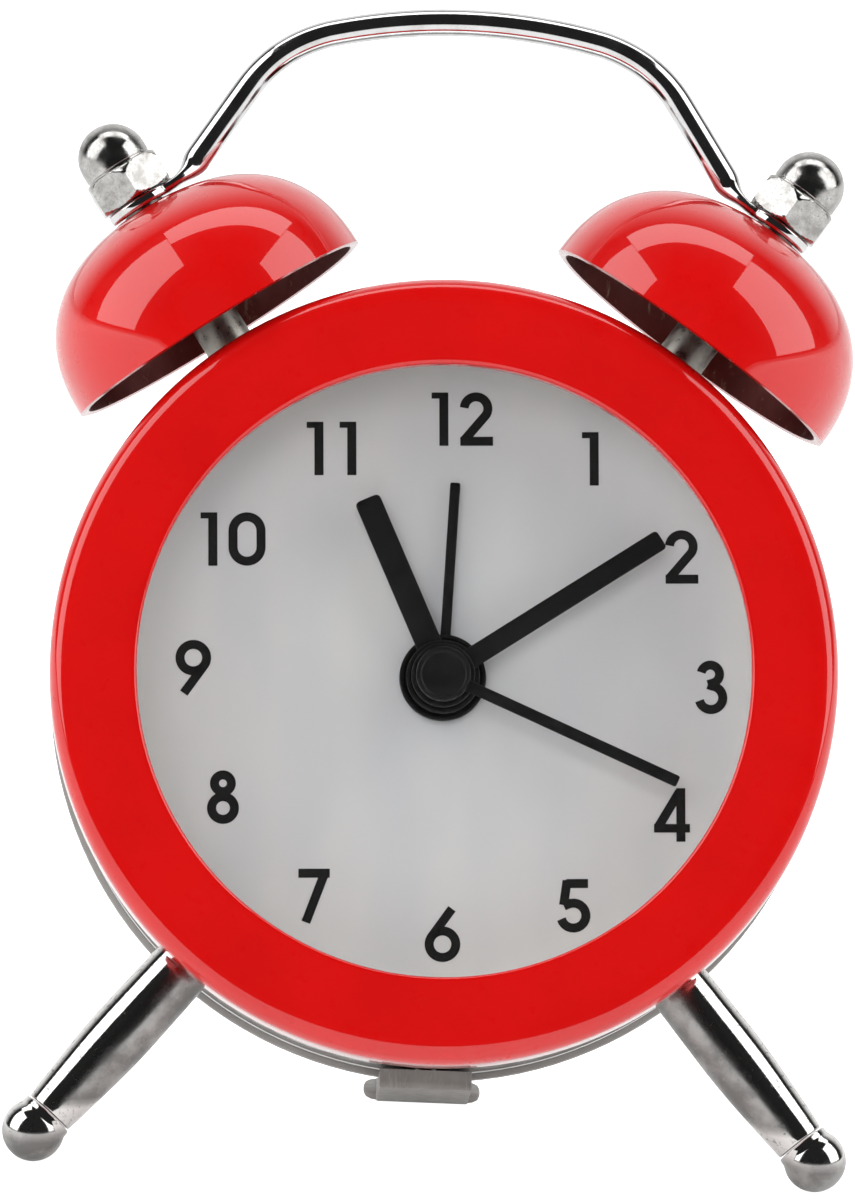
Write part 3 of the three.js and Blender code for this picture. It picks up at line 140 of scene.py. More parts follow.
room = bpy.data.worlds.new("room")
scene.world = room
room.use_nodes = True
room_nodes = room.node_tree.nodes
walls = room_nodes["Background"]
walls.inputs["Color"].default_value = (1, 1, 1, 1)
direction = room_nodes.new("ShaderNodeTexCoord")
direction_parts = room_nodes.new("ShaderNodeSeparateXYZ")
depth_of_room = room_nodes.new("ShaderNodeMapRange")
depth_of_room.inputs["From Min"].default_value = DARK_UNTIL
depth_of_room.inputs["From Max"].default_value = WHITE_FROM
depth_of_room.inputs["To Min"].default_value = DARKNESS
depth_of_room.inputs["To Max"].default_value = 1.0
room.node_tree.links.new(direction.outputs["Generated"], direction_parts.inputs[0])
room.node_tree.links.new(direction_parts.outputs["Y"], depth_of_room.inputs["Value"])
room.node_tree.links.new(depth_of_room.outputs["Result"], walls.inputs["Strength"])
scene.view_settings.view_transform = "Standard"
scene.view_settings.look = "None"
scene.view_settings.exposure = 0

# ---------------------------------------------------------------- movement case
# A round plate behind the dial with a box moulded on its back, and a flat lid screwed over it.
# Injection-moulded white styrene, faintly grained by the tool, never seen with the back on.
def paint(code):
    """A colour written as six hex digits, as the linear values that a shader takes."""
    shares = [int(code[i:i + 2], 16) / 255 for i in (0, 2, 4)]
    return (*(s / 12.92 if s <= 0.04045 else ((s + 0.055) / 1.055) ** 2.4 for s in shares), 1)


class Finish:
    """One material, with its unevenness laid over the piece at real size, in millimetres."""

    def __init__(self, name, colour, roughness, metal=0, **sockets):
        self.material = bpy.data.materials.new(name)
        self.material.use_nodes = True
        self.nodes = self.material.node_tree.nodes
        self.links = self.material.node_tree.links
        self.shader = self.nodes["Principled BSDF"]
        self.shader.inputs["Base Color"].default_value = paint(colour)
        self.shader.inputs["Roughness"].default_value = roughness
        self.shader.inputs["Metallic"].default_value = metal
        for socket, value in sockets.items():
            self.shader.inputs[socket.replace("_", " ")].default_value = value
        self.place = self.nodes.new("ShaderNodeTexCoord").outputs["Object"]
        self.relief = None

    def cloud(self, size, detail=3, roughness=0.55, stretch=(1, 1, 1)):
        """Soft blotches about size millimetres across, stretched along the given axes."""
        mapping = self.nodes.new("ShaderNodeMapping")
        mapping.inputs["Scale"].default_value = [1000 / (size * s) for s in stretch]
        texture = self.nodes.new("ShaderNodeTexNoise")
        texture.inputs["Scale"].default_value = 1
        texture.inputs["Detail"].default_value = detail
        texture.inputs["Roughness"].default_value = roughness
        self.links.new(self.place, mapping.inputs["Vector"])
        self.links.new(mapping.outputs["Vector"], texture.inputs["Vector"])
        return texture.outputs["Fac"]

    def between(self, value, low, high, start=0.35, end=0.65):
        """The value spread from low to high as it goes from start to end."""
        spread = self.nodes.new("ShaderNodeMapRange")
        spread.inputs["From Min"].default_value = start
        spread.inputs["From Max"].default_value = end
        spread.inputs["To Min"].default_value = low
        spread.inputs["To Max"].default_value = high
        self.links.new(value, spread.inputs["Value"])
        return spread.outputs["Result"]

    def reckon(self, operation, *values):
        """One step of arithmetic on values, each a number or the output of another step."""
        step = self.nodes.new("ShaderNodeMath")
        step.operation = operation
        for value, socket in zip(values, step.inputs):
            if isinstance(value, (int, float)):
                socket.default_value = value
            else:
                self.links.new(value, socket)
        return step.outputs[0]

    def most(self, first, second):
        """Whichever of two values is the greater."""
        return self.reckon("MAXIMUM", first, second)

    def along(self, way, start):
        """Distance in millimetres along a direction, from a point."""
        offset = self.nodes.new("ShaderNodeVectorMath")
        offset.operation = "SUBTRACT"
        offset.inputs[1].default_value = start
        distance = self.nodes.new("ShaderNodeVectorMath")
        distance.operation = "DOT_PRODUCT"
        distance.inputs[1].default_value = way * 1000
        self.links.new(self.place, offset.inputs[0])
        self.links.new(offset.outputs[0], distance.inputs[0])
        return distance.outputs["Value"]

    def colours(self, value, *stops):
        """Base colour running through (position, hex) stops."""
        ramp = self.nodes.new("ShaderNodeValToRGB")
        for extra in stops[2:]:
            ramp.color_ramp.elements.new(extra[0])
        for element, (position, code) in zip(ramp.color_ramp.elements, sorted(stops)):
            element.position = position
            element.color = paint(code)
        self.links.new(value, ramp.inputs["Fac"])
        self.links.new(ramp.outputs["Color"], self.shader.inputs["Base Color"])
        return self

    def sheen_range(self, value, low, high, start=0.35, end=0.65):
        """Roughness running from low to high."""
        self.links.new(self.between(value, low, high, start, end), self.shader.inputs["Roughness"])
        return self

    def raised(self, value, height):
        """Relief of that height in millimetres, on top of any there is."""
        bump = self.nodes.new("ShaderNodeBump")
        bump.inputs["Distance"].default_value = height / 1000
        bump.inputs["Strength"].default_value = 1
        self.links.new(value, bump.inputs["Height"])
        if self.relief:
            self.links.new(self.relief, bump.inputs["Normal"])
        self.relief = bump.outputs["Normal"]
        self.links.new(self.relief, self.shader.inputs["Normal"])
        return self


def dress(finish, *nodes):
    """Give the pieces that keep their own shape this finish."""
    for node in nodes:
        frame["nodes"][node].material_slots[0].material = finish.material


styrene = Finish("white_styrene", "e6e3da", 0.5, Specular_IOR_Level=0.4)
styrene_cloud = styrene.cloud(6)
styrene.colours(styrene_cloud, (0.3, "dedad0"), (0.7, "ece9e1"))
styrene.sheen_range(styrene_cloud, 0.42, 0.58)
styrene.raised(styrene.cloud(0.25, 2), 0.01)
dress(styrene, "movement_front_shell", "movement_rear_shell")

# ---------------------------------------------------------------- wheels
# The train from the motor to the hands, on thin arbors between plate and lid. Natural acetal, with
# a brass minute wheel and third pinion that slip when the hands are set, and a magnet rotor.
acetal = Finish("natural_acetal", "eeeade", 0.36, Subsurface_Weight=0.1, Subsurface_Scale=0.0005)
acetal_cloud = acetal.cloud(1.5)
acetal.colours(acetal_cloud, (0.3, "e4dfd0"), (0.7, "f2efe6"))
acetal.sheen_range(acetal_cloud, 0.3, 0.45)
acetal.raised(acetal.cloud(0.12, 2), 0.004)
dress(acetal, "second_wheel", "third_wheel", "intermediate_wheel", "motion_wheel", "hour_wheel",
      "alarm_wheel", "time_setting_pinion", "alarm_setting_pinion")

brass = Finish("rolled_brass", "c9a24b", 0.28, 1)
brass_lines = brass.cloud(0.4, 4, 0.6, (6, 0.3, 1))
brass.colours(brass.cloud(2.5), (0.3, "b48c3a"), (0.55, "caa552"), (0.75, "d8b96c"))
brass.sheen_range(brass_lines, 0.2, 0.42)
brass.raised(brass_lines, 0.003)
dress(brass, "minute_wheel", "third_pinion", "contact_positive", "contact_negative", "alarm_contact")

ferrite = Finish("sintered_magnet", "4a4a4c", 0.5, 0.7)
ferrite_grain = ferrite.cloud(0.08, 4, 0.7)
ferrite.colours(ferrite_grain, (0.35, "3a3a3c"), (0.65, "5a5a5d"))
ferrite.sheen_range(ferrite_grain, 0.4, 0.65)
ferrite.raised(ferrite_grain, 0.006)
dress(ferrite, "rotor")

# ---------------------------------------------------------------- board, motor and buzzer
# A small green board with its chip and crystal can, a pressed steel core through a wound copper
# coil, and a moulded piezo buzzer above the box. Three zinc-plated screws hold the lid.
solder_mask = Finish("green_solder_mask", "2f6b3f", 0.35, Coat_Weight=0.3, Coat_Roughness=0.15)
board_tracks = solder_mask.cloud(0.8, 1, 0.3, (4, 1, 0.5))
solder_mask.colours(board_tracks, (0.44, "275a35"), (0.5, "2f6b3f"), (0.56, "4a8a57"))
solder_mask.sheen_range(solder_mask.cloud(0.5), 0.28, 0.45)
solder_mask.raised(board_tracks, 0.02)
dress(solder_mask, "circuit_board")

epoxy = Finish("black_epoxy", "191919", 0.6, Specular_IOR_Level=0.35)
epoxy_grain = epoxy.cloud(0.1, 4, 0.7)
epoxy.colours(epoxy_grain, (0.35, "131313"), (0.65, "242424"))
epoxy.sheen_range(epoxy.cloud(1.2), 0.5, 0.7)
epoxy.raised(epoxy_grain, 0.008)
dress(epoxy, "control_chip", "buzzer")

nickel = Finish("bright_nickel", "cfcdc6", 0.18, 1)
nickel_wear = nickel.cloud(1.8, 4, 0.65)
nickel.colours(nickel_wear, (0.3, "bdbab2"), (0.7, "dad8d2"))
nickel.sheen_range(nickel_wear, 0.12, 0.32)
nickel.raised(nickel.cloud(0.15, 3, 0.6, (5, 1, 1)), 0.002)
dress(nickel, "quartz_crystal", "button_cell")

core_steel = Finish("pressed_core_steel", "a8a8a4", 0.35, 1)
core_lines = core_steel.cloud(0.2, 4, 0.6, (8, 1, 1))
core_steel.colours(core_lines, (0.3, "96958f"), (0.7, "b7b6b1"))
core_steel.sheen_range(core_lines, 0.28, 0.45)
core_steel.raised(core_lines, 0.003)
dress(core_steel, "stator")

winding = Finish("lacquered_copper_wire", "b06a3a", 0.3, 0.9, Coat_Weight=0.5, Coat_Roughness=0.1)
turns_of_wire = winding.nodes.new("ShaderNodeTexWave")
turns_of_wire.bands_direction = "X"
turns_of_wire.inputs["Scale"].default_value = 2600
turns_of_wire.inputs["Distortion"].default_value = 0.6
winding.links.new(winding.place, turns_of_wire.inputs["Vector"])
# Painted shade and highlight: the colour runs dark in the grooves between turns and light along their
# crowns, following the relief.
winding.colours(turns_of_wire.outputs["Fac"], (0.1, "6f3717"), (0.6, "b06a3a"), (0.95, "d28c58"))
winding.sheen_range(winding.cloud(0.6), 0.22, 0.4)
winding.raised(turns_of_wire.outputs["Fac"], 0.03)
dress(winding, "coil")

zinc = Finish("zinc_plated_steel", "b9b7b0", 0.35, 1)
zinc_bloom = zinc.cloud(0.9, 5, 0.65)
zinc.colours(zinc_bloom, (0.3, "9f9c92"), (0.55, "b9b7b0"), (0.75, "cbc7b4"))
zinc.sheen_range(zinc_bloom, 0.25, 0.5)
zinc.raised(zinc.cloud(0.1, 3), 0.003)
dress(zinc, "case_screw_1", "case_screw_2", "case_screw_3")

# ---------------------------------------------------------------- battery
# A button cell in a moulded cup below the movement, between a flat leaf and a curved side strip.
# The cup is the same white styrene as the movement's case.
dress(styrene, "battery_holder")

# ---------------------------------------------------------------- dial
# A disc of card faced with silver lacquer, held between the spacer ring and the movement. The
# lacquer has a fine metallic sparkle and faint, soft streaks.
CREASE = 32
WELD = 2e-7
SLIVER = 1e-7


def softened(outline, steps=4):
    """An outline of (x, y) points, with the corners that give a third value rounded by it."""
    rounded = []
    for i, point in enumerate(outline):
        corner = Vector(point[:2])
        if len(point) == 2:
            rounded.append(corner)
            continue
        before = Vector(outline[i - 1][:2]) - corner
        after = Vector(outline[(i + 1) % len(outline)][:2]) - corner
        reach = min(point[2], before.length / 2, after.length / 2)
        start = corner + before.normalized() * reach
        end = corner + after.normalized() * reach
        for step in range(steps + 1):
            share = step / steps
            rounded.append(start * (1 - share) ** 2 + corner * 2 * share * (1 - share) + end * share ** 2)
    return rounded


def piece_from(name, vertices, faces, finish, place=clock, crease=CREASE):
    """A new piece from points in millimetres, smooth but for edges sharper than the crease."""
    mesh = bpy.data.meshes.new(name)
    mesh.from_pydata([tuple(v) for v in vertices], [], faces)
    mesh.transform(place)
    skin = bmesh.new()
    skin.from_mesh(mesh)
    bmesh.ops.remove_doubles(skin, verts=skin.verts, dist=WELD)
    bmesh.ops.dissolve_degenerate(skin, edges=skin.edges, dist=SLIVER)
    bmesh.ops.recalc_face_normals(skin, faces=skin.faces)
    skin.to_mesh(mesh)
    skin.free()
    mesh.shade_smooth()
    mesh.set_sharp_from_angle(angle=radians(crease))
    mesh.materials.append(finish.material)
    piece = bpy.data.objects.new(name, mesh)
    scene.collection.objects.link(piece)
    return piece


def lathe_work(outline, segments):
    """Points and faces of a closed outline of (radius, length) turned about the y axis."""
    vertices = []
    faces = []
    count = len(outline)
    for turn in range(segments):
        angle = 2 * pi * turn / segments
        vertices += [Vector((r * sin(angle), y, r * cos(angle))) for r, y in outline]
        following = (turn + 1) % segments
        for i in range(count):
            j = (i + 1) % count
            faces.append((turn * count + i, turn * count + j, following * count + j, following * count + i))
    return vertices, faces


def turned(name, outline, finish, place=clock, segments=96, crease=CREASE):
    """A new piece turned on the lathe from a closed outline of (radius, length)."""
    vertices, faces = lathe_work(softened(outline), segments)
    return piece_from(name, vertices, faces, finish, place, crease)


def fit(piece, body, slot, *nodes):
    """Put the piece on its body, in place of the plain ones it stands for."""
    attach(piece, body)
    if nodes:
        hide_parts(*nodes)
    return piece


DIAL_FRONT = 7.5
DIAL_BACK = 7.9
DIAL_RADIUS = 25.4
DIAL_EDGE = 0.05
DIAL_HOLE = 2.15
silver = Finish("silver_lacquered_card", "d9dadb", 0.42, 0.1)
streaks = silver.cloud(9, 2, 0.5, (0.8, 1, 3))
silver.colours(streaks, (0.3, "d9dbde"), (0.7, "e6e6e5"))
silver.sheen_range(silver.cloud(0.07, 2, 0.7), 0.34, 0.52)
silver.raised(silver.cloud(0.05, 2, 0.8), 0.0012)
dial = turned("dial_card", [(DIAL_HOLE, DIAL_FRONT), (DIAL_RADIUS, DIAL_FRONT, DIAL_EDGE),
                            (DIAL_RADIUS, DIAL_BACK, DIAL_EDGE), (DIAL_HOLE, DIAL_BACK)], silver)
fit(dial, "case", "silver_dial", "dial")

# ---------------------------------------------------------------- hour numbers
# Printed on the card in matt black ink, in plain geometric figures of one stroke width. The ink
# stands a few hundredths proud and is slightly open in the solid parts.
FIGURE_HEIGHT = 3.85
STROKE = 0.65
FLAG_STROKE = 0.44
INK = 0.03
INK_ROOT = 0.01
STROKE_STEP = 0.003
RING_RADIUS = 18.6
RING_CENTRE = (0.7, 0.15)
FIGURE_TWIST = radians(-2.4)


def arc(centre, radius, start, end, steps=18):
    """Points along an arc, in degrees anticlockwise from the right."""
    turns = [radians(start + (end - start) * i / steps) for i in range(steps + 1)]
    return [(centre[0] + radius * cos(t), centre[1] + radius * sin(t)) for t in turns]


HALF = STROKE / 2
TOP = FIGURE_HEIGHT
SIX = [([(2.02, TOP - 0.02), *arc((1.33, 1.28), 0.955, 148, 508, 40)], STROKE, False)]
FIGURES = {  # width, then strokes as (points, width, closed)
    "0": (2.66, [(arc((1.33, TOP - 1.33), 1.005, 0, 180) + arc((1.33, 1.33), 1.005, 180, 360),
                  STROKE, True)]),
    "1": (1.2, [([(1.2 - HALF, 0), (1.2 - HALF, TOP)], STROKE, False),
                ([(0, TOP - FLAG_STROKE / 2), (0.9, TOP - FLAG_STROKE / 2)], FLAG_STROKE, False)]),
    "2": (2.4, [([*arc((1.19, 2.68), 0.85, 176, -32), (0.42, 0.5), (0.3, HALF)], STROKE, False),
                ([(0.05, HALF), (2.4, HALF)], STROKE, False)]),
    "3": (2.4, [([*arc((1.13, 2.86), 0.665, 168, -80), (0.95, 2.12)], STROKE, False),
                ([(0.95, 2.12), *arc((1.17, 1.17), 0.85, 84, -166)], STROKE, False)]),
    "4": (2.6, [([(1.95, 0), (1.95, TOP)], STROKE, False),
                ([(1.86, TOP - 0.25), (0.3, 1.02)], STROKE, False),
                ([(0.02, 0.97), (2.6, 0.97)], STROKE * 0.95, False)]),
    "5": (2.6, [([(0.78, TOP - HALF), (2.36, TOP - HALF)], STROKE, False),
                ([(0.86, TOP - 0.1), (0.6, 1.98)], STROKE, False),
                ([(0.62, 1.9), *arc((1.3, 1.22), 0.9, 118, -164)], STROKE, False)]),
    "6": (2.66, SIX),
    "7": (2.25, [([(0, TOP - HALF), (2.25, TOP - HALF)], STROKE, False),
                 ([(1.93, TOP - 0.2), (0.52, 0)], STROKE, False)]),
    "8": (2.4, [(arc((1.2, 2.92), 0.605, 0, 360, 30)[:-1], STROKE, True),
                (arc((1.2, 1.14), 0.82, 0, 360, 36)[:-1], STROKE, True)]),
    "9": (2.66, [([(2.66 - x, TOP - y) for x, y in SIX[0][0]], STROKE, False)]),
}
FIGURE_GAP = 0.8
ELEVEN_GAP = 1.45
MITRE_LIMIT = 0.5


def ribbon(points, width, closed, height):
    """A flat ribbon along the points, mitred where it bends, as points and faces."""
    points = [Vector(p) for p in points]
    count = len(points)
    edges = []
    for i, point in enumerate(points):
        before = points[i - 1] if closed or i else None
        after = points[(i + 1) % count] if closed or i < count - 1 else None
        incoming = (point - before).normalized() if before else (after - point).normalized()
        outgoing = (after - point).normalized() if after else incoming
        normals = [Vector((-way.y, way.x)) for way in (incoming, outgoing)]
        mitre = (normals[0] + normals[1]).normalized()
        mitre *= width / 2 / max(mitre.dot(normals[0]), MITRE_LIMIT)
        edges.append((point + mitre, point - mitre))
    vertices = []
    for left, rightward in edges:
        for side in (left, rightward):
            vertices += [(side.x, height, side.y), (side.x, DIAL_FRONT + INK_ROOT, side.y)]
    faces = []
    for i in range(count if closed else count - 1):
        a = i * 4
        b = (i + 1) % count * 4
        faces += [(a, a + 2, b + 2, b), (a + 1, b + 1, b + 3, a + 3)]
        faces += [(a, b, b + 1, a + 1), (a + 2, a + 3, b + 3, b + 2)]
    if not closed:
        end = (count - 1) * 4
        faces += [(0, 1, 3, 2), (end, end + 2, end + 3, end + 1)]
    return vertices, faces


ink = Finish("matt_black_ink", "161616", 0.62, Specular_IOR_Level=0.3)
ink_break = ink.cloud(0.16, 4, 0.7)
ink.colours(ink_break, (0.3, "101010"), (0.62, "1c1c1c"), (0.75, "3c3c3c"))
ink.sheen_range(ink_break, 0.5, 0.75)
ink.raised(ink_break, 0.006)
number_points = []
number_faces = []
for hour in range(1, 13):
    figures = [FIGURES[figure] for figure in str(hour)]
    gap = FIGURE_GAP * (ELEVEN_GAP if hour == 11 else 1)
    width = sum(figure[0] for figure in figures) + gap * (len(figures) - 1)
    angle = 2 * pi * hour / 12
    middle = Vector((RING_CENTRE[0] + RING_RADIUS * sin(angle), RING_CENTRE[1] + RING_RADIUS * cos(angle)))
    start = -width / 2
    twist = Matrix.Rotation(-FIGURE_TWIST, 2)
    for figure_width, strokes in figures:
        for layer, (path, stroke, closed) in enumerate(strokes):
            shifted = [middle + twist @ Vector((x + start, y - TOP / 2)) for x, y in path]
            points, faces = ribbon(shifted, stroke, closed, DIAL_FRONT - INK - layer * STROKE_STEP)
            offset = len(number_points)
            number_points += points
            number_faces += [tuple(i + offset for i in face) for face in faces]
        start += figure_width + gap
numbers = piece_from("hour_numbers", number_points, number_faces, ink)
fit(numbers, "case", None)

# ---------------------------------------------------------------- hands
# Four black acetal hands pressed on the centre pipes: alarm at the back, then hour and minute, and
# the second hand in front with a solid cap. Flat arms with softly rounded edges, no tails.
def joined(*bodies):
    """Several sets of points and faces as one."""
    vertices = []
    faces = []
    for points, corners in bodies:
        offset = len(vertices)
        vertices += points
        faces += [tuple(i + offset for i in face) for face in corners]
    return vertices, faces


def slab(outline, front, rear, edge, steps=3):
    """A flat plate drawn in x and z between two depths, its edges rounded off."""
    outline = [Vector(p) for p in outline]
    count = len(outline)
    rings = []
    for step in range(steps + 1):
        turn = pi / 2 * step / steps
        rings.append((edge * (1 - sin(turn)), front + edge * (1 - cos(turn))))
    rings += [(inset, front + rear - depth) for inset, depth in reversed(rings)]
    vertices = []
    for inset, depth in rings:
        for i, point in enumerate(outline):
            incoming = (point - outline[i - 1]).normalized()
            outgoing = (outline[(i + 1) % count] - point).normalized()
            normals = [Vector((way.y, -way.x)) for way in (incoming, outgoing)]
            mitre = normals[0] + normals[1]
            mitre = mitre / max(mitre.dot(normals[0]), MITRE_LIMIT)
            moved = point - mitre * inset
            vertices.append(Vector((moved.x, depth, moved.y)))
    faces = [tuple(range(count)), tuple(reversed(range(len(vertices) - count, len(vertices))))]
    for ring in range(len(rings) - 1):
        for i in range(count):
            j = (i + 1) % count
            a, b = ring * count, (ring + 1) * count
            faces.append((a + i, b + i, b + j, a + j))
    return vertices, faces


hand_black = Finish("black_acetal", "0d0d0d", 0.4, Specular_IOR_Level=0.4)
hand_grain = hand_black.cloud(0.18, 4, 0.7)
hand_black.colours(hand_grain, (0.35, "080808"), (0.6, "0d0d0d"), (0.78, "161616"))
hand_black.sheen_range(hand_black.cloud(0.9, 4, 0.6), 0.36, 0.6)
hand_black.raised(hand_grain, 0.002)
HANDS = {  # depth, length, width, angle in degrees, hub radius, bore, front and back of the hub
    "second": (3.9, 18.6, 0.85, 112.4, 1.98, 0.0, 3.3, 4.2),
    "minute": (4.8, 18.6, 1.5, 55.6, 2.3, 0.9, 4.5, 5.3),
    "hour": (5.7, 14.0, 1.9, 334.7, 2.65, 1.45, 5.6, 6.2),
    "alarm": (6.6, 14.1, 0.73, 1.5, 3.12, 2.0, 6.5, 7.1),
}
ARM_THICKNESS = 0.3
ARM_EDGE = 0.1
TIP_SHARE = 0.45
HUB_LIP = 0.3
CAP_RECESS = 0.35
for name, (depth, length, width, angle, hub, bore, hub_front, hub_rear) in HANDS.items():
    half = width / 2
    tip = half * TIP_SHARE
    arm_outline = softened([(-half, (bore + hub) / 2), (half, (bore + hub) / 2),
                            (half, length, tip), (-half, length, tip)])
    arm = slab(arm_outline, depth, depth + ARM_THICKNESS, ARM_EDGE)
    rim = hub - HUB_LIP
    if name == "second":
        hub_outline = [
            (0, hub_front + 0.1), (rim - 0.12, hub_front + 0.1, 0.06), (rim, hub_front, 0.06),
            (hub, hub_front, 0.16), (hub, hub_rear, 0.08), (CAP_RECESS, hub_rear),
            (CAP_RECESS, hub_rear - 0.4), (0, hub_rear - 0.4),
        ]
    else:
        hub_outline = [
            (bore, hub_front + 0.08), (rim - 0.1, hub_front + 0.08, 0.05), (rim, hub_front, 0.05),
            (hub, hub_front, 0.12), (hub, hub_rear, 0.08), (bore, hub_rear),
        ]
    boss = lathe_work(softened(hub_outline), 64)
    spin = clock @ Matrix.Rotation(radians(angle), 4, "Y")
    hand = piece_from(f"{name}_hand_arm", *joined(arm, boss), hand_black, spin, 28)
    fit(hand, name, "black_plastic", f"{name}_hand")

# ---------------------------------------------------------------- spacer ring and lens
# A white moulded ring holds the lens off the dial. The lens is a flat disc of clear acrylic with
# polished faces, seated behind the bezel's lip.
LENS_RADIUS = 23.5
LENS_FRONT = 1.9
LENS_REAR = 2.9
LENS_EDGE = 0.08
RING_BORE = 22.9
RING_FLANGE = 27.3
SEAT_RADIUS = 23.55
SEAT_DEPTH = 2.95
spacer = turned("spacer_ring_moulding", [
    (RING_BORE, SEAT_DEPTH, 0.1), (SEAT_RADIUS, SEAT_DEPTH), (SEAT_RADIUS, 0.75),
    (DIAL_RADIUS, 0.75, 0.1), (DIAL_RADIUS, 1.6), (RING_FLANGE, 1.6, 0.1), (RING_FLANGE, 3.0, 0.1),
    (DIAL_RADIUS, 3.0), (DIAL_RADIUS, 7.4), (RING_BORE, 7.4),
], styrene)
fit(spacer, "case", "white_plastic", "spacer_ring")

acrylic = Finish("clear_acrylic", "ffffff", 0.02, Transmission_Weight=1.0, IOR=1.3)
acrylic.sheen_range(acrylic.cloud(4, 3), 0.012, 0.03)
clear_path = acrylic.nodes.new("ShaderNodeBsdfTransparent")
shadow_rays = acrylic.nodes.new("ShaderNodeLightPath")
lens_mix = acrylic.nodes.new("ShaderNodeMixShader")
acrylic.links.new(shadow_rays.outputs["Is Shadow Ray"], lens_mix.inputs[0])
acrylic.links.new(acrylic.shader.outputs[0], lens_mix.inputs[1])
acrylic.links.new(clear_path.outputs[0], lens_mix.inputs[2])
acrylic.links.new(lens_mix.outputs[0], acrylic.nodes["Material Output"].inputs["Surface"])
lens = turned("lens_disc", [(0, LENS_FRONT), (LENS_RADIUS, LENS_FRONT, LENS_EDGE),
                            (LENS_RADIUS, LENS_REAR, LENS_EDGE), (0, LENS_REAR)], acrylic)
fit(lens, "case", "clear_lens", "lens")

# ---------------------------------------------------------------- bezel
# Spun from thin steel sheet, its front edge rolled over into a skirt that presses on the drum, and
# its window turned in as a lip. Red stove enamel under a clear gloss.
enamel = Finish("red_stove_enamel", "d90c0b", 0.35, Coat_Weight=1.0, Coat_Roughness=0.03,
                Coat_IOR=1.65, Specular_IOR_Level=0.08)
enamel_flow = enamel.cloud(7, 3, 0.5)
enamel.colours(enamel_flow, (0.3, "d60b0b"), (0.7, "de0e0c"))
enamel.sheen_range(enamel.cloud(1.6, 4), 0.26, 0.4)
enamel.raised(enamel.cloud(1.3, 2, 0.4), 0.004)
enamel_dust = enamel.cloud(0.35, 1, 0.2)
enamel.raised(enamel.between(enamel_dust, 0, 1, 0.82, 0.9), 0.003)
bezel_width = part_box("bezel")[1].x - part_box("bezel")[0].x
RIM = bezel_width * 500
WINDOW = 22.2
LIP_DEPTH = 1.8
LIP_INSIDE = 22.85
SKIRT_END = 5.0
SKIRT_INSIDE = 27.95
bezel = turned("bezel_shell", [
    (WINDOW, LIP_DEPTH), (WINDOW, 0.05, 0.4), (24.4, 0.0, 1.6), (26.9, 0.06, 0.9), (27.9, 0.32, 0.5),
    (RIM, 1.3, 0.7), (RIM, SKIRT_END, 0.2), (SKIRT_INSIDE, SKIRT_END), (SKIRT_INSIDE, 1.5, 0.3),
    (27.2, 0.7, 0.3), (LIP_INSIDE, 0.65), (LIP_INSIDE, LIP_DEPTH),
], enamel, segments=160)
fit(bezel, "case", "red_enamel", "bezel")

# ---------------------------------------------------------------- drum
# The case wall: a steel band rolled round and bright plated, with a groove pressed in near the
# back, ahead of the cover's edge.
plate = Finish("bright_chrome_plate", "dedede", 0.07, 1)
plate_wear = plate.cloud(2.2, 5, 0.7)
plate_lines = plate.cloud(0.12, 4, 0.6, (1, 1, 5))
plate.colours(plate_wear, (0.3, "c9c7c4"), (0.5, "dddddd"), (0.7, "e6e6e6"))
plate.sheen_range(plate_wear, 0.04, 0.16, 0.4, 0.72)
plate.raised(plate_lines, 0.0006)
DRUM = 27.9
DRUM_BORE = 27.4
DRUM_FRONT = 1.5
DRUM_REAR = 20.25
GROOVE_DEPTH = 0.28
drum = turned("drum_shell", [
    (DRUM, DRUM_FRONT, 0.1), (DRUM, 17.9, 0.3), (DRUM - GROOVE_DEPTH, 18.25, 0.2), (DRUM, 18.6, 0.3),
    (DRUM, DRUM_REAR, 0.18), (DRUM_BORE, DRUM_REAR, 0.1), (DRUM_BORE, DRUM_FRONT),
], plate, segments=160)
fit(drum, "case", "plated_drum", "drum")

# ---------------------------------------------------------------- fixings inside the drum
# Cheese-head screws up into the legs and the rear foot, and hexagon nuts on the bell studs, all
# zinc plated and hidden by the movement.
dress(zinc, "leg_screw_left", "leg_screw_right", "rear_foot_screw", "post_nut_left", "post_nut_right")

# ---------------------------------------------------------------- legs and ball feet
# Turned steel legs, swelling slightly and tapering to a separate ball screwed into the end. The
# plating is bright but thin and rubbed dull in random specks; painted shade darkens the inner
# undersides of the legs and the bottoms of the balls in grey patches.
LEG_ANGLE = 140
LEG_DEPTH = 9.5
DRUM_SEAT = 27.95
LEG_END = 42.35
BALL = 2.275
BALL_CENTRE = 44.05
BALL_NECK = 42.97
BALL_STEPS = 24


def outwards(angle, depth):
    """Stand a turned piece on the drum, pointing out at an angle from straight up."""
    lean = Matrix.Rotation(radians(angle), 4, "Y") @ Matrix.Rotation(pi / 2, 4, "X")
    return clock @ Matrix.Translation((0, depth, 0)) @ lean


worn_and_shaded = Finish("worn_and_shaded_chrome_plate", "d2d0cd", 0.12, 1)
brushing = worn_and_shaded.cloud(0.25, 4, 0.6, (1, 1, 7))
scuffs = worn_and_shaded.cloud(0.4, 5, 0.75)
patches = worn_and_shaded.cloud(2.8, 4, 0.6)
from_middle = worn_and_shaded.reckon("ABSOLUTE", worn_and_shaded.along(right, bezel_front))
down_dial = worn_and_shaded.along(-up, bezel_front)
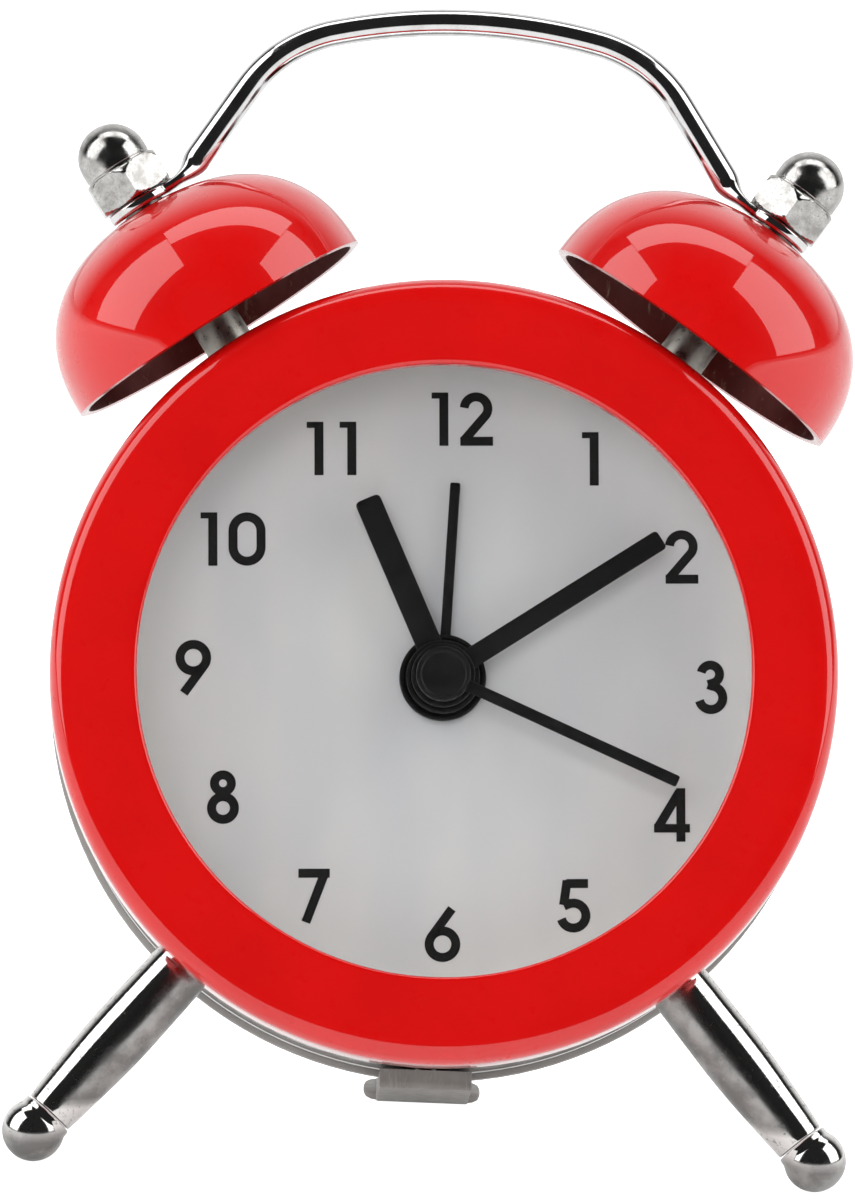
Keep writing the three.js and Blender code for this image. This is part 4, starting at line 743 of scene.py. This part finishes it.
# Painted shade: the side of each leg facing down and inwards, and the bottom of each ball, are coloured
# darker grey in patches. Only the random specks are wear.
inner_side = worn_and_shaded.reckon("SUBTRACT", worn_and_shaded.reckon("MULTIPLY", down_dial, sin(radians(LEG_ANGLE))),
                         worn_and_shaded.reckon("MULTIPLY", from_middle, -cos(radians(LEG_ANGLE))))
painted_shade_under_leg = worn_and_shaded.between(inner_side, 0, 0.8, -0.5, 0.2)
ground = worn_and_shaded.along(Vector((0, 0, 1)), Vector((0, 0, 0)))
painted_shade_under_ball = worn_and_shaded.between(ground, 0.85, 0, 1.9, 3.0)
on_leg = worn_and_shaded.between(ground, 0, 1, 4.2, 5.0)
painted_underside_shade = worn_and_shaded.most(worn_and_shaded.reckon("MULTIPLY", painted_shade_under_leg, on_leg), painted_shade_under_ball)
patchy_painted_shade = worn_and_shaded.reckon("MULTIPLY", worn_and_shaded.between(patches, 0.5, 1.0, 0.4, 0.62), painted_underside_shade)
specks = worn_and_shaded.between(scuffs, 0, 1, 0.56, 0.72)
specks_and_painted_shade = worn_and_shaded.most(patchy_painted_shade, specks)
worn_and_shaded.colours(specks_and_painted_shade, (0.0, "dddbd9"), (0.4, "a5a4a2"), (0.7, "8b8a88"), (1.0, "6c6b69"))
worn_and_shaded.sheen_range(specks_and_painted_shade, 0.07, 0.38, 0, 1)
worn_and_shaded.raised(brushing, 0.0016)
worn_and_shaded.raised(scuffs, 0.003)
ball_turn = acos((BALL_CENTRE - BALL_NECK) / BALL)
ball_outline = [(0.0, LEG_END + 0.1), (1.98, LEG_END + 0.1, 0.12), (2.0, 42.8)]
for step in range(BALL_STEPS + 1):
    turn = ball_turn + (pi - ball_turn) * step / BALL_STEPS
    ball_outline.append((max(0, BALL * sin(turn)), BALL_CENTRE - BALL * cos(turn)))
for side, sign in (("left", -1), ("right", 1)):
    stand = outwards(sign * LEG_ANGLE, LEG_DEPTH)
    leg = turned(f"leg_{side}_turned", [
        (0, DRUM_SEAT), (2.25, DRUM_SEAT, 0.2), (2.28, 29.5, 0.5), (2.36, 35.4, 2.2), (1.98, 41.2, 0.8),
        (1.86, LEG_END, 0.12), (0, LEG_END),
    ], worn_and_shaded, stand, 64, 40)
    fit(leg, "case", "satin_legs", f"leg_{side}")
    ball = turned(f"foot_ball_{side}_turned", ball_outline, worn_and_shaded, stand, 64, 40)
    fit(ball, "case", "chrome", f"foot_ball_{side}")

# ---------------------------------------------------------------- rear foot
# A grey moulded prop screwed under the drum: a plain web that runs back and down to a flat base
# with a thin rounded lip on each side.
FOOT_WEB = 6.7
WEB_FRONT = 13.5
WEB_REAR = 20.15
WEB_SEAT = -28.0
WEB_EDGE = 0.12
FOOT_LIP = 8.5
LIP_THICKNESS = 0.6
LIP_TOP = 0.62
LIP_EDGE = 0.2
BASE_FRONT = 28.25
BASE_REAR = 32.25
LEAN = atan2(-back.z, back.y)
floor_drop = bezel_front.z * 1000


def floor_at(depth):
    """Height of the table under the clock, in the clock's own axes."""
    return (depth * sin(LEAN) - floor_drop) / cos(LEAN)


grey = Finish("grey_moulding", "84817d", 0.45, Specular_IOR_Level=0.45)
grey_lines = grey.cloud(0.3, 4, 0.6, (0.5, 1, 5))
grey.colours(grey.most(grey.cloud(2.5, 4), grey_lines), (0.4, "7d7a76"), (0.6, "8d8a86"), (0.75, "9a9793"))
grey.sheen_range(grey.cloud(0.8, 4), 0.36, 0.56)
grey.raised(grey_lines, 0.01)
web_outline = [
    (WEB_FRONT, WEB_SEAT), (WEB_FRONT, -29.35, 0.5), (BASE_FRONT, floor_at(BASE_FRONT), 0.8),
    (BASE_REAR, floor_at(BASE_REAR), 0.2), (BASE_REAR, floor_at(BASE_REAR) + LIP_THICKNESS, 0.3),
    (21.6, -28.4, 0.6), (WEB_REAR, -28.4), (WEB_REAR, WEB_SEAT),
]
sideways = clock @ Matrix(((0, 1, 0, 0), (1, 0, 0, 0), (0, 0, 1, 0), (0, 0, 0, 1)))
web = slab(softened(web_outline), -FOOT_WEB / 2, FOOT_WEB / 2, WEB_EDGE)
lip_outline = softened([
    (BASE_FRONT, -FOOT_LIP / 2, 1.8), (BASE_REAR, -FOOT_LIP / 2, 1.6), (BASE_REAR, FOOT_LIP / 2, 1.6),
    (BASE_FRONT, FOOT_LIP / 2, 1.8),
])
lip_points, lip_faces = slab([(x, y) for y, x in reversed(lip_outline)], 0, LIP_THICKNESS, LIP_EDGE)
tread = [Vector((p.z, p.x, floor_at(p.z) + LIP_TOP - p.y)) for p in lip_points]
foot = piece_from("rear_foot_moulding", *joined(web, (tread, lip_faces)), grey, sideways, 40)
fit(foot, "case", "grey_foot", "rear_foot")

# ---------------------------------------------------------------- bells and pillars
# Two bells pressed from sheet and enamelled like the bezel outside, left thinly sprayed and scuffed
# inside. Each stands on a plated pillar whose stud passes through the handle's eye.
BELL_ANGLE = 34.2
BELL_DEPTH = 11
BELL_RADIUS = 11.9
BELL_HEIGHT = 10.3
BELL_WALL = 0.7
BELL_FULLNESS = 2.35
BELL_RIM = 30.4
LINING_OUTSIDE = 0.03
LINING_INSIDE = 0.08
STUD_HOLE = 1.6
STUD = 1.5
STUD_START = 24.0
STUD_END = 44.9
PILLAR = 1.8
PILLAR_TOP = 39.8
PILLAR_FLANGE = 2.0


def bell_curve(radius, height, steps=30):
    """From the stud hole out to the rim, as (radius, distance from the centre of the case)."""
    share = 2 / BELL_FULLNESS
    first = acos((STUD_HOLE / radius) ** (1 / share))
    turns = [first * (1 - i / steps) for i in range(steps + 1)]
    return [(radius * cos(t) ** share, BELL_RIM + height * sin(t) ** share) for t in turns]


bare = Finish("thin_brown_primer", "3a1512", 0.5, 0.25)
bare_scuff = bare.cloud(0.9, 5, 0.7, (1, 1, 2.5))
bare_mist = bare.cloud(4.5, 3)
bare.colours(bare.most(bare.between(bare_scuff, 0, 1, 0.52, 0.72), bare.between(bare_mist, 0, 0.35)),
             (0.0, "6a1a14"), (0.4, "7a2a20"), (0.75, "94705f"), (1.0, "b8a292"))
bare.sheen_range(bare_scuff, 0.3, 0.6)
bare.raised(bare_scuff, 0.01)
outside = bell_curve(BELL_RADIUS, BELL_HEIGHT)
inside = bell_curve(BELL_RADIUS - BELL_WALL, BELL_HEIGHT - BELL_WALL)
rim_edge = [(BELL_RADIUS - 0.05, BELL_RIM), (BELL_RADIUS - 0.3, BELL_RIM - 0.1),
            (BELL_RADIUS - BELL_WALL + 0.05, BELL_RIM)]
lining_outer = bell_curve(BELL_RADIUS - BELL_WALL - LINING_OUTSIDE,
                          BELL_HEIGHT - BELL_WALL - LINING_OUTSIDE)
lining_inner = bell_curve(BELL_RADIUS - BELL_WALL - LINING_INSIDE,
                          BELL_HEIGHT - BELL_WALL - LINING_INSIDE)
for side, sign in (("left", -1), ("right", 1)):
    stand = outwards(sign * BELL_ANGLE, BELL_DEPTH)
    shell = turned(f"bell_{side}_shell", [*outside, *rim_edge, *reversed(inside)], enamel, stand, 120, 50)
    fit(shell, "case", "red_enamel", f"bell_{side}")
    lining = turned(f"bell_{side}_lining", [*lining_outer, *reversed(lining_inner)], bare, stand, 96, 50)
    fit(lining, "case", "red_enamel")
    pillar = turned(f"bell_post_{side}_turned", [
        (0, STUD_START), (STUD, STUD_START, 0.2), (STUD, DRUM_SEAT), (PILLAR_FLANGE, DRUM_SEAT, 0.1),
        (PILLAR_FLANGE, 28.5, 0.15), (PILLAR, 28.6), (PILLAR, PILLAR_TOP, 0.2), (STUD, PILLAR_TOP),
        (STUD, STUD_END, 0.3), (0, STUD_END),
    ], zinc, stand, 48)
    fit(pillar, "case", "chrome", f"bell_post_{side}")

# ---------------------------------------------------------------- acorn nuts
# Bright domed nuts that clamp bell and handle: a hexagon with its corners turned off at both ends,
# and a full round dome on a narrow neck.
NUT_SEAT = 41.6
NUT_FLATS = 5.5
NUT_HEX = 2.6
DOME = 2.56
NUT_TOP = 47.6
NUT_ROUND = 120
DOME_STEPS = 16


def acorn():
    """Rows of points round the nut, each no further out than the flats or the turned outline."""
    corner = NUT_FLATS / sqrt(3)
    profile = [(2.75, 0), (corner - 0.12, 0.22), (corner, 0.4), (corner, NUT_HEX - 0.75),
               (corner - 0.12, NUT_HEX - 0.45), (corner - 0.32, NUT_HEX - 0.15), (2.62, NUT_HEX)]
    profile += [(2.5, NUT_HEX + 0.02), (DOME - 0.06, NUT_HEX + 0.08), (DOME, NUT_HEX + 0.2)]
    for step in range(DOME_STEPS + 1):
        turn = pi / 2 * step / DOME_STEPS
        profile.append((max(0, DOME * cos(turn)), NUT_TOP - NUT_SEAT - DOME + DOME * sin(turn)))
    rows = []
    for i, (radius, height) in enumerate(profile[:-1]):
        following = profile[i + 1]
        pieces = 3 if height < NUT_HEX - 0.01 else 1
        for piece in range(pieces):
            share = piece / pieces
            rows.append((radius + (following[0] - radius) * share,
                         height + (following[1] - height) * share))
    rows.append(profile[-1])
    vertices = []
    faces = []
    for r, h in rows:
        for i in range(NUT_ROUND):
            angle = 2 * pi * i / NUT_ROUND
            from_flat = (angle + pi / 6) % (pi / 3) - pi / 6
            reach = min(r, NUT_FLATS / 2 / cos(from_flat)) if h < NUT_HEX + 0.01 else r
            vertices.append(Vector((reach * cos(angle), NUT_SEAT + h, reach * sin(angle))))
    for row in range(len(rows) - 1):
        for i in range(NUT_ROUND):
            j = (i + 1) % NUT_ROUND
            a, b = row * NUT_ROUND, (row + 1) * NUT_ROUND
            faces.append((a + i, a + j, b + j, b + i))
    faces.append(tuple(range(NUT_ROUND)))
    return vertices, faces


nut_plate = Finish("speckled_nickel_plate", "c9c7c4", 0.14, 1)
pits = nut_plate.cloud(0.13, 3, 0.7)
handling = nut_plate.cloud(1.1, 4, 0.65)
marked = nut_plate.most(nut_plate.between(pits, 0, 1, 0.5, 0.72), nut_plate.between(handling, 0, 0.6))
nut_plate.colours(marked, (0.0, "c9c8c6"), (0.5, "a9a7a4"), (1.0, "7c7a77"))
nut_plate.sheen_range(handling, 0.08, 0.26)
nut_plate.raised(pits, 0.004)
for side, sign in (("left", -1), ("right", 1)):
    stand = outwards(sign * BELL_ANGLE, BELL_DEPTH)
    nut = piece_from(f"acorn_nut_{side}_turned", *acorn(), nut_plate, stand, 26)
    fit(nut, "case", "chrome", f"acorn_nut_{side}")

# ---------------------------------------------------------------- handle
# One length of plated wire bent to a low arch with straight sides, kinked over the bells, its ends
# hammered flat and pierced as eyes that sit under the acorn nuts.
WIRE = 1.0
EYE_BOTTOM = 40.75
EYE_THICKNESS = 0.8
EYE_RADIUS = 2.6
TONGUE = 4.2
HANDLE_INSET = 6.097
HANDLE_RISE = 9.298
HANDLE_CROWN = 2.3
HANDLE_BEND = 3.6
WIRE_LIFT = 0.25
KINK = 1.3
TONGUE_TAPER = 1.5
TONGUE_WIDTH = 1.75
ARCH_STEPS = 24
axis_out = Vector((sin(radians(BELL_ANGLE)), cos(radians(BELL_ANGLE))))
inwards = Vector((-axis_out.y, axis_out.x))
eye_middle = EYE_BOTTOM + EYE_THICKNESS / 2
wire_start = axis_out * (eye_middle + WIRE_LIFT) + inwards * TONGUE
shoulder = wire_start + Vector((-HANDLE_INSET, HANDLE_RISE))
arch_radius = (shoulder.x ** 2 + HANDLE_CROWN ** 2) / (2 * HANDLE_CROWN)
arch_centre = Vector((0, shoulder.y + HANDLE_CROWN - arch_radius))


def curved(first, handle, last, steps):
    """Points of a bend from first to last, pulled towards the handle."""
    shares = [i / steps for i in range(steps + 1)]
    return [first * (1 - s) ** 2 + handle * 2 * s * (1 - s) + last * s ** 2 for s in shares]


arch_end = pi / 2 - (shoulder.x - HANDLE_BEND) / arch_radius
arch = []
for step in range(ARCH_STEPS + 1):
    turn = pi / 2 + (arch_end - pi / 2) * step / ARCH_STEPS
    arch.append(arch_centre + Vector((cos(turn), sin(turn))) * arch_radius)
side_way = (wire_start - shoulder).normalized()
kink_start = wire_start - side_way * KINK
kink_end = axis_out * (eye_middle + 0.02) + inwards * (TONGUE - TONGUE_TAPER)
eye_side = axis_out * eye_middle + inwards * TONGUE_WIDTH
half_route = arch + curved(arch[-1], shoulder, shoulder + side_way * HANDLE_BEND, 14)[1:]
half_route += [half_route[-1].lerp(kink_start, s) for s in (0.25, 0.5, 0.75)]
wire_until = len(half_route)
kink_pull = wire_start.lerp(axis_out * eye_middle + inwards * TONGUE, 0.6)
half_route += curved(kink_start, kink_pull, kink_end, 10)
half_route.append(eye_side)
route = [Vector((-p.x, p.y)) for p in reversed(half_route[1:])] + half_route
flatness = []
for i in range(len(half_route)):
    share = min(1, max(0, (i - wire_until - 1) / 8))
    flatness.append(share * share * (3 - 2 * share))
flatness = list(reversed(flatness[1:])) + flatness
WIRE_SIDES = 28
wire_points = []
wire_faces = []
for i, point in enumerate(route):
    ahead = route[min(i + 1, len(route) - 1)]
    behind = route[max(i - 1, 0)]
    way = (ahead - behind).normalized()
    outward = Vector((-way.y, way.x))
    flat = flatness[i]
    deep = WIRE + (TONGUE_WIDTH - WIRE) * flat
    tall = WIRE + (EYE_THICKNESS / 2 - WIRE) * flat
    squareness = 1 - 0.45 * flat
    for j in range(WIRE_SIDES):
        turn = 2 * pi * j / WIRE_SIDES
        c, s = cos(turn), sin(turn)
        across_wire = deep * abs(c) ** squareness * (1 if c >= 0 else -1)
        over_wire = tall * abs(s) ** squareness * (1 if s >= 0 else -1)
        spot = point + outward * over_wire
        wire_points.append(Vector((spot.x, BELL_DEPTH + across_wire, spot.y)))
    if i:
        for j in range(WIRE_SIDES):
            k = (j + 1) % WIRE_SIDES
            a, b = (i - 1) * WIRE_SIDES, i * WIRE_SIDES
            wire_faces.append((a + j, a + k, b + k, b + j))
wire_faces.append(tuple(range(WIRE_SIDES)))
wire_faces.append(tuple(reversed(range(len(wire_points) - WIRE_SIDES, len(wire_points)))))
eye_outline = softened([(STUD_HOLE, EYE_BOTTOM, 0.1), (EYE_RADIUS, EYE_BOTTOM, 0.3),
                        (EYE_RADIUS, EYE_BOTTOM + EYE_THICKNESS, 0.3),
                        (STUD_HOLE, EYE_BOTTOM + EYE_THICKNESS, 0.1)])
eyes = []
for sign in (-1, 1):
    ring_points, ring_faces = lathe_work(eye_outline, 64)
    stand = Matrix.Translation((0, BELL_DEPTH, 0)) @ Matrix.Rotation(radians(sign * BELL_ANGLE), 4, "Y")
    stand = stand @ Matrix.Rotation(pi / 2, 4, "X")
    eyes.append(([stand @ p for p in ring_points], ring_faces))
handle = piece_from("handle_wire", *joined((wire_points, wire_faces), *eyes), plate, clock, 40)
fit(handle, "case", "chrome", "handle")

# ---------------------------------------------------------------- back cover
# A shallow moulded tray in satin grey that plugs into the drum: a grooved rim, dished rings round
# the setting knobs, a battery doorway, a slot for the alarm switch and a row of sound holes.
COVER_INSIDE = 20.7
COVER_BACK = 21.5
COVER_PLUG = 27.3
COVER_RIM = 28.3
PLUG_START = 18.8
DISH = 21.25
CUT_FROM = 19
CUT_TO = 23
TIME_SETTING = (-8.194, 3.394)
ALARM_SETTING = (4.698, -1.710)
BATTERY_Z = -18.4
DOOR = 13.6
DOOR_CORNER = 1.2
DOOR_GAP = 0.3
SWITCH = (12, 12)
SCREW_X = 19.5
SCREW_Z = 3
SOUND_HOLES = 5
SOUND_HOLE_Z = 19.4
SOUND_HOLE_PITCH = 2


def carve(piece, *cutters):
    """Cut the shapes out of the piece, for good."""
    for cutter in cutters:
        cut = piece.modifiers.new(cutter.name, "BOOLEAN")
        cut.operation = "DIFFERENCE"
        cut.solver = "EXACT"
        cut.object = cutter
    bpy.context.view_layer.update()
    carved = bpy.data.meshes.new_from_object(piece.evaluated_get(bpy.context.evaluated_depsgraph_get()))
    piece.modifiers.clear()
    piece.data = carved
    carved.shade_smooth()
    carved.set_sharp_from_angle(angle=radians(CREASE))
    for cutter in cutters:
        bpy.data.objects.remove(cutter)


def drill(name, spot, radius, start, end):
    """A round cutter along the depth of the clock."""
    place = clock @ Matrix.Translation((spot[0], 0, spot[1]))
    return turned(name, [(0, start), (radius, start), (radius, end), (0, end)], cover_grey, place, 40)


def square(centre, width, height, corner):
    """A rounded rectangle in x and z."""
    x, z = centre
    a, b = width / 2, height / 2
    return softened([(x - a, z - b, corner), (x + a, z - b, corner), (x + a, z + b, corner),
                     (x - a, z + b, corner)])


def punch(name, centre, width, height, corner, start):
    """A square cutter with rounded corners, along the depth of the clock."""
    body = slab(square(centre, width, height, corner), start, CUT_TO, 0.01)
    return piece_from(name, *body, cover_grey)


cover_grey = Finish("satin_grey_moulding", "a3a09d", 0.4, Specular_IOR_Level=0.45)
cover_grain = cover_grey.cloud(0.22, 3, 0.7)
cover_grey.colours(cover_grey.cloud(5, 4), (0.3, "9b9895"), (0.7, "aba8a5"))
cover_grey.sheen_range(cover_grey.cloud(1.5, 4), 0.34, 0.52)
cover_grey.raised(cover_grain, 0.012)
cover = turned("back_cover_moulding", [
    (0, COVER_INSIDE), (26.3, COVER_INSIDE), (26.3, PLUG_START), (COVER_PLUG, PLUG_START, 0.1),
    (COVER_PLUG, 20.3), (COVER_RIM, 20.3, 0.12), (COVER_RIM, COVER_BACK, 0.4), (27.0, COVER_BACK, 0.1),
    (26.8, DISH, 0.1), (26.2, DISH, 0.1), (26.0, COVER_BACK, 0.1), (0, COVER_BACK),
], cover_grey, segments=128)
doorway = punch("doorway", (0, BATTERY_Z), DOOR + DOOR_GAP, DOOR + DOOR_GAP, DOOR_CORNER, CUT_FROM)
switch_slot = punch("switch_slot", SWITCH, 5.4, 1.8, 0.3, CUT_FROM)
switch_bay = punch("switch_bay", SWITCH, 10.4, 4.6, 0.8, DISH)
cutters = [doorway, switch_slot, switch_bay]
for name, spot in (("time", TIME_SETTING), ("alarm", ALARM_SETTING)):
    cutters.append(drill(f"{name}_dish", spot, 4.1, 21.2, CUT_TO))
    cutters.append(drill(f"{name}_hole", spot, 1.4, CUT_FROM, CUT_TO))
for x in (-SCREW_X, SCREW_X):
    cutters.append(drill(f"screw_hole_{x:.0f}", (x, SCREW_Z), 1.1, CUT_FROM, CUT_TO))
for i in range(SOUND_HOLES):
    spot = ((i - SOUND_HOLES // 2) * SOUND_HOLE_PITCH, SOUND_HOLE_Z)
    cutters.append(drill(f"sound_hole_{i}", spot, 0.8, CUT_FROM, CUT_TO))
carve(cover, *cutters)
fit(cover, "case", "cover_plastic", "back_cover")

# ---------------------------------------------------------------- battery door
# A square snap-in door of the same grey plastic, with five moulded grip ridges and a thumbnail
# notch at its upper edge.
RIDGES = 5
RIDGE_PITCH = 0.9
RIDGE_LENGTH = 7.2
RIDGE_WIDTH = 0.42
RIDGE_HEIGHT = 0.25
ridges = []
for i in range(RIDGES):
    shorter = abs(i - RIDGES // 2) * RIDGE_PITCH
    ridge_spot = (0, BATTERY_Z + 2.6 - i * RIDGE_PITCH)
    ridge = square(ridge_spot, RIDGE_LENGTH - shorter, RIDGE_WIDTH, 0.2)
    ridges.append(slab(ridge, COVER_BACK - 0.1, COVER_BACK + RIDGE_HEIGHT, 0.14))
door_plate = slab(square((0, BATTERY_Z), DOOR, DOOR, DOOR_CORNER), COVER_INSIDE, COVER_BACK, 0.15)
door = piece_from("battery_door_moulding", *door_plate, cover_grey)
notch = punch("thumb_notch", (0, BATTERY_Z + 6.4), 3.6, 1.5, 0.6, 21.1)
carve(door, notch)
fit(door, "battery_hatch", "cover_plastic", "battery_door")
grip = piece_from("battery_door_ridges", *joined(*ridges), cover_grey)
fit(grip, "battery_hatch", "cover_plastic")

# ---------------------------------------------------------------- setting knobs
# Two ribbed knobs moulded in black plastic and pressed on the setting shafts, one for the time and
# one for the alarm, each with a dished end.
KNOB = 3.4
RIBS = 20
RIB_DEPTH = 0.25
RIB_STEPS = 12
KNOB_FRONT = 22.0
KNOB_REAR = 27.5


def knob_body():
    """The ribbed grip, its stem and its dished end."""
    profile = [(0, 18.9, 0), (1.1, 18.9, 0), (1.1, KNOB_FRONT, 0), (2.9, KNOB_FRONT, 0),
               (3.2, 22.08, 0.3), (KNOB, 22.3, 1), (KNOB, 24.0, 1), (KNOB, 26.8, 1), (3.3, 27.2, 0.8),
               (3.05, 27.42, 0.3), (2.75, KNOB_REAR, 0), (2.45, 27.42, 0), (2.3, 27.15, 0), (0, 27.05, 0)]
    around = RIBS * RIB_STEPS
    vertices = []
    faces = []
    for r, y, ribbed in profile:
        for i in range(around):
            angle = 2 * pi * i / around
            groove = (0.5 - 0.5 * cos(angle * RIBS)) ** 3
            reach = r - ribbed * RIB_DEPTH * groove
            vertices.append(Vector((reach * cos(angle), y, reach * sin(angle))))
    for row in range(len(profile) - 1):
        for i in range(around):
            j = (i + 1) % around
            a, b = row * around, (row + 1) * around
            faces.append((a + i, a + j, b + j, b + i))
    return vertices, faces


knob_black = Finish("black_knob_moulding", "161616", 0.42, Specular_IOR_Level=0.5)
knob_grain = knob_black.cloud(0.2, 4, 0.7)
knob_black.colours(knob_black.cloud(1.2, 4), (0.3, "111111"), (0.65, "1b1b1b"), (0.8, "2c2c2c"))
knob_black.sheen_range(knob_black.cloud(0.8, 4), 0.32, 0.55)
knob_black.raised(knob_grain, 0.006)
for name, spot in (("time", TIME_SETTING), ("alarm", ALARM_SETTING)):
    place = clock @ Matrix.Translation((spot[0], 0, spot[1]))
    knob = piece_from(f"{name}_knob_moulding", *knob_body(), knob_black, place, 35)
    fit(knob, f"{name}_setting", "black_plastic", f"{name}_knob")

# ---------------------------------------------------------------- alarm switch
# A slide moulded in black plastic in one piece: a plate captive behind the cover, a neck through
# the slot and a button outside it with four raised bars for the fingertip.
REST_X = 10.5
BARS = 4
BAR_PITCH = 0.8
bars = []
for i in range(BARS):
    bar_spot = (REST_X - 1.2 + i * BAR_PITCH, SWITCH[1])
    bars.append(slab(square(bar_spot, 0.4, 2.6, 0.12), 23.3, 23.75, 0.12))
switch = piece_from("alarm_switch_slide_button", *joined(
    slab(square((REST_X, SWITCH[1]), 7, 3.4, 0.4), 19.8, 20.6, 0.1),
    slab(square((REST_X, SWITCH[1]), 2.2, 1.6, 0.1), 20.5, 21.7, 0.01),
    slab(square((REST_X, SWITCH[1]), 4, 3, 0.4), 21.6, 23.4, 0.25),
    *bars), knob_black, crease=35)
fit(switch, "alarm_slide", "black_plastic", "alarm_switch")

# ---------------------------------------------------------------- cover screws
# Two zinc-plated steel pan-head screws with a pressed cross recess, driven through the cover
# towards the movement behind it. Each was left turned to its own angle.
SCREW_START = 12.8
SCREW_SHANK = 0.9
SCREW_HEAD = 1.9
SCREW_TOP = 22.6
CROSS = 0.42
for side, x, turned_to in (("left", -SCREW_X, 20), ("right", SCREW_X, 55)):
    place = clock @ Matrix.Translation((x, 0, SCREW_Z))
    screw = turned(f"cover_screw_{side}_head", [
        (0, SCREW_START), (SCREW_SHANK, SCREW_START, 0.2), (SCREW_SHANK, 21.6), (SCREW_HEAD, 21.6, 0.1),
        (SCREW_HEAD, 22.15, 0.4), (1.25, SCREW_TOP, 0.5), (0, SCREW_TOP),
    ], zinc, place, 48)
    cross_place = place @ Matrix.Rotation(radians(turned_to), 4, "Y")
    recess = []
    for k, (wide, tall) in enumerate(((SCREW_HEAD, CROSS), (CROSS, SCREW_HEAD))):
        slot = slab(square((0, 0), wide, tall, 0.1), 22.0, CUT_TO, 0.01)
        recess.append(piece_from(f"recess_{side}_{k}", *slot, zinc, cross_place))
    carve(screw, *recess)
    fit(screw, "case", "zinc_screws", f"cover_screw_{side}")
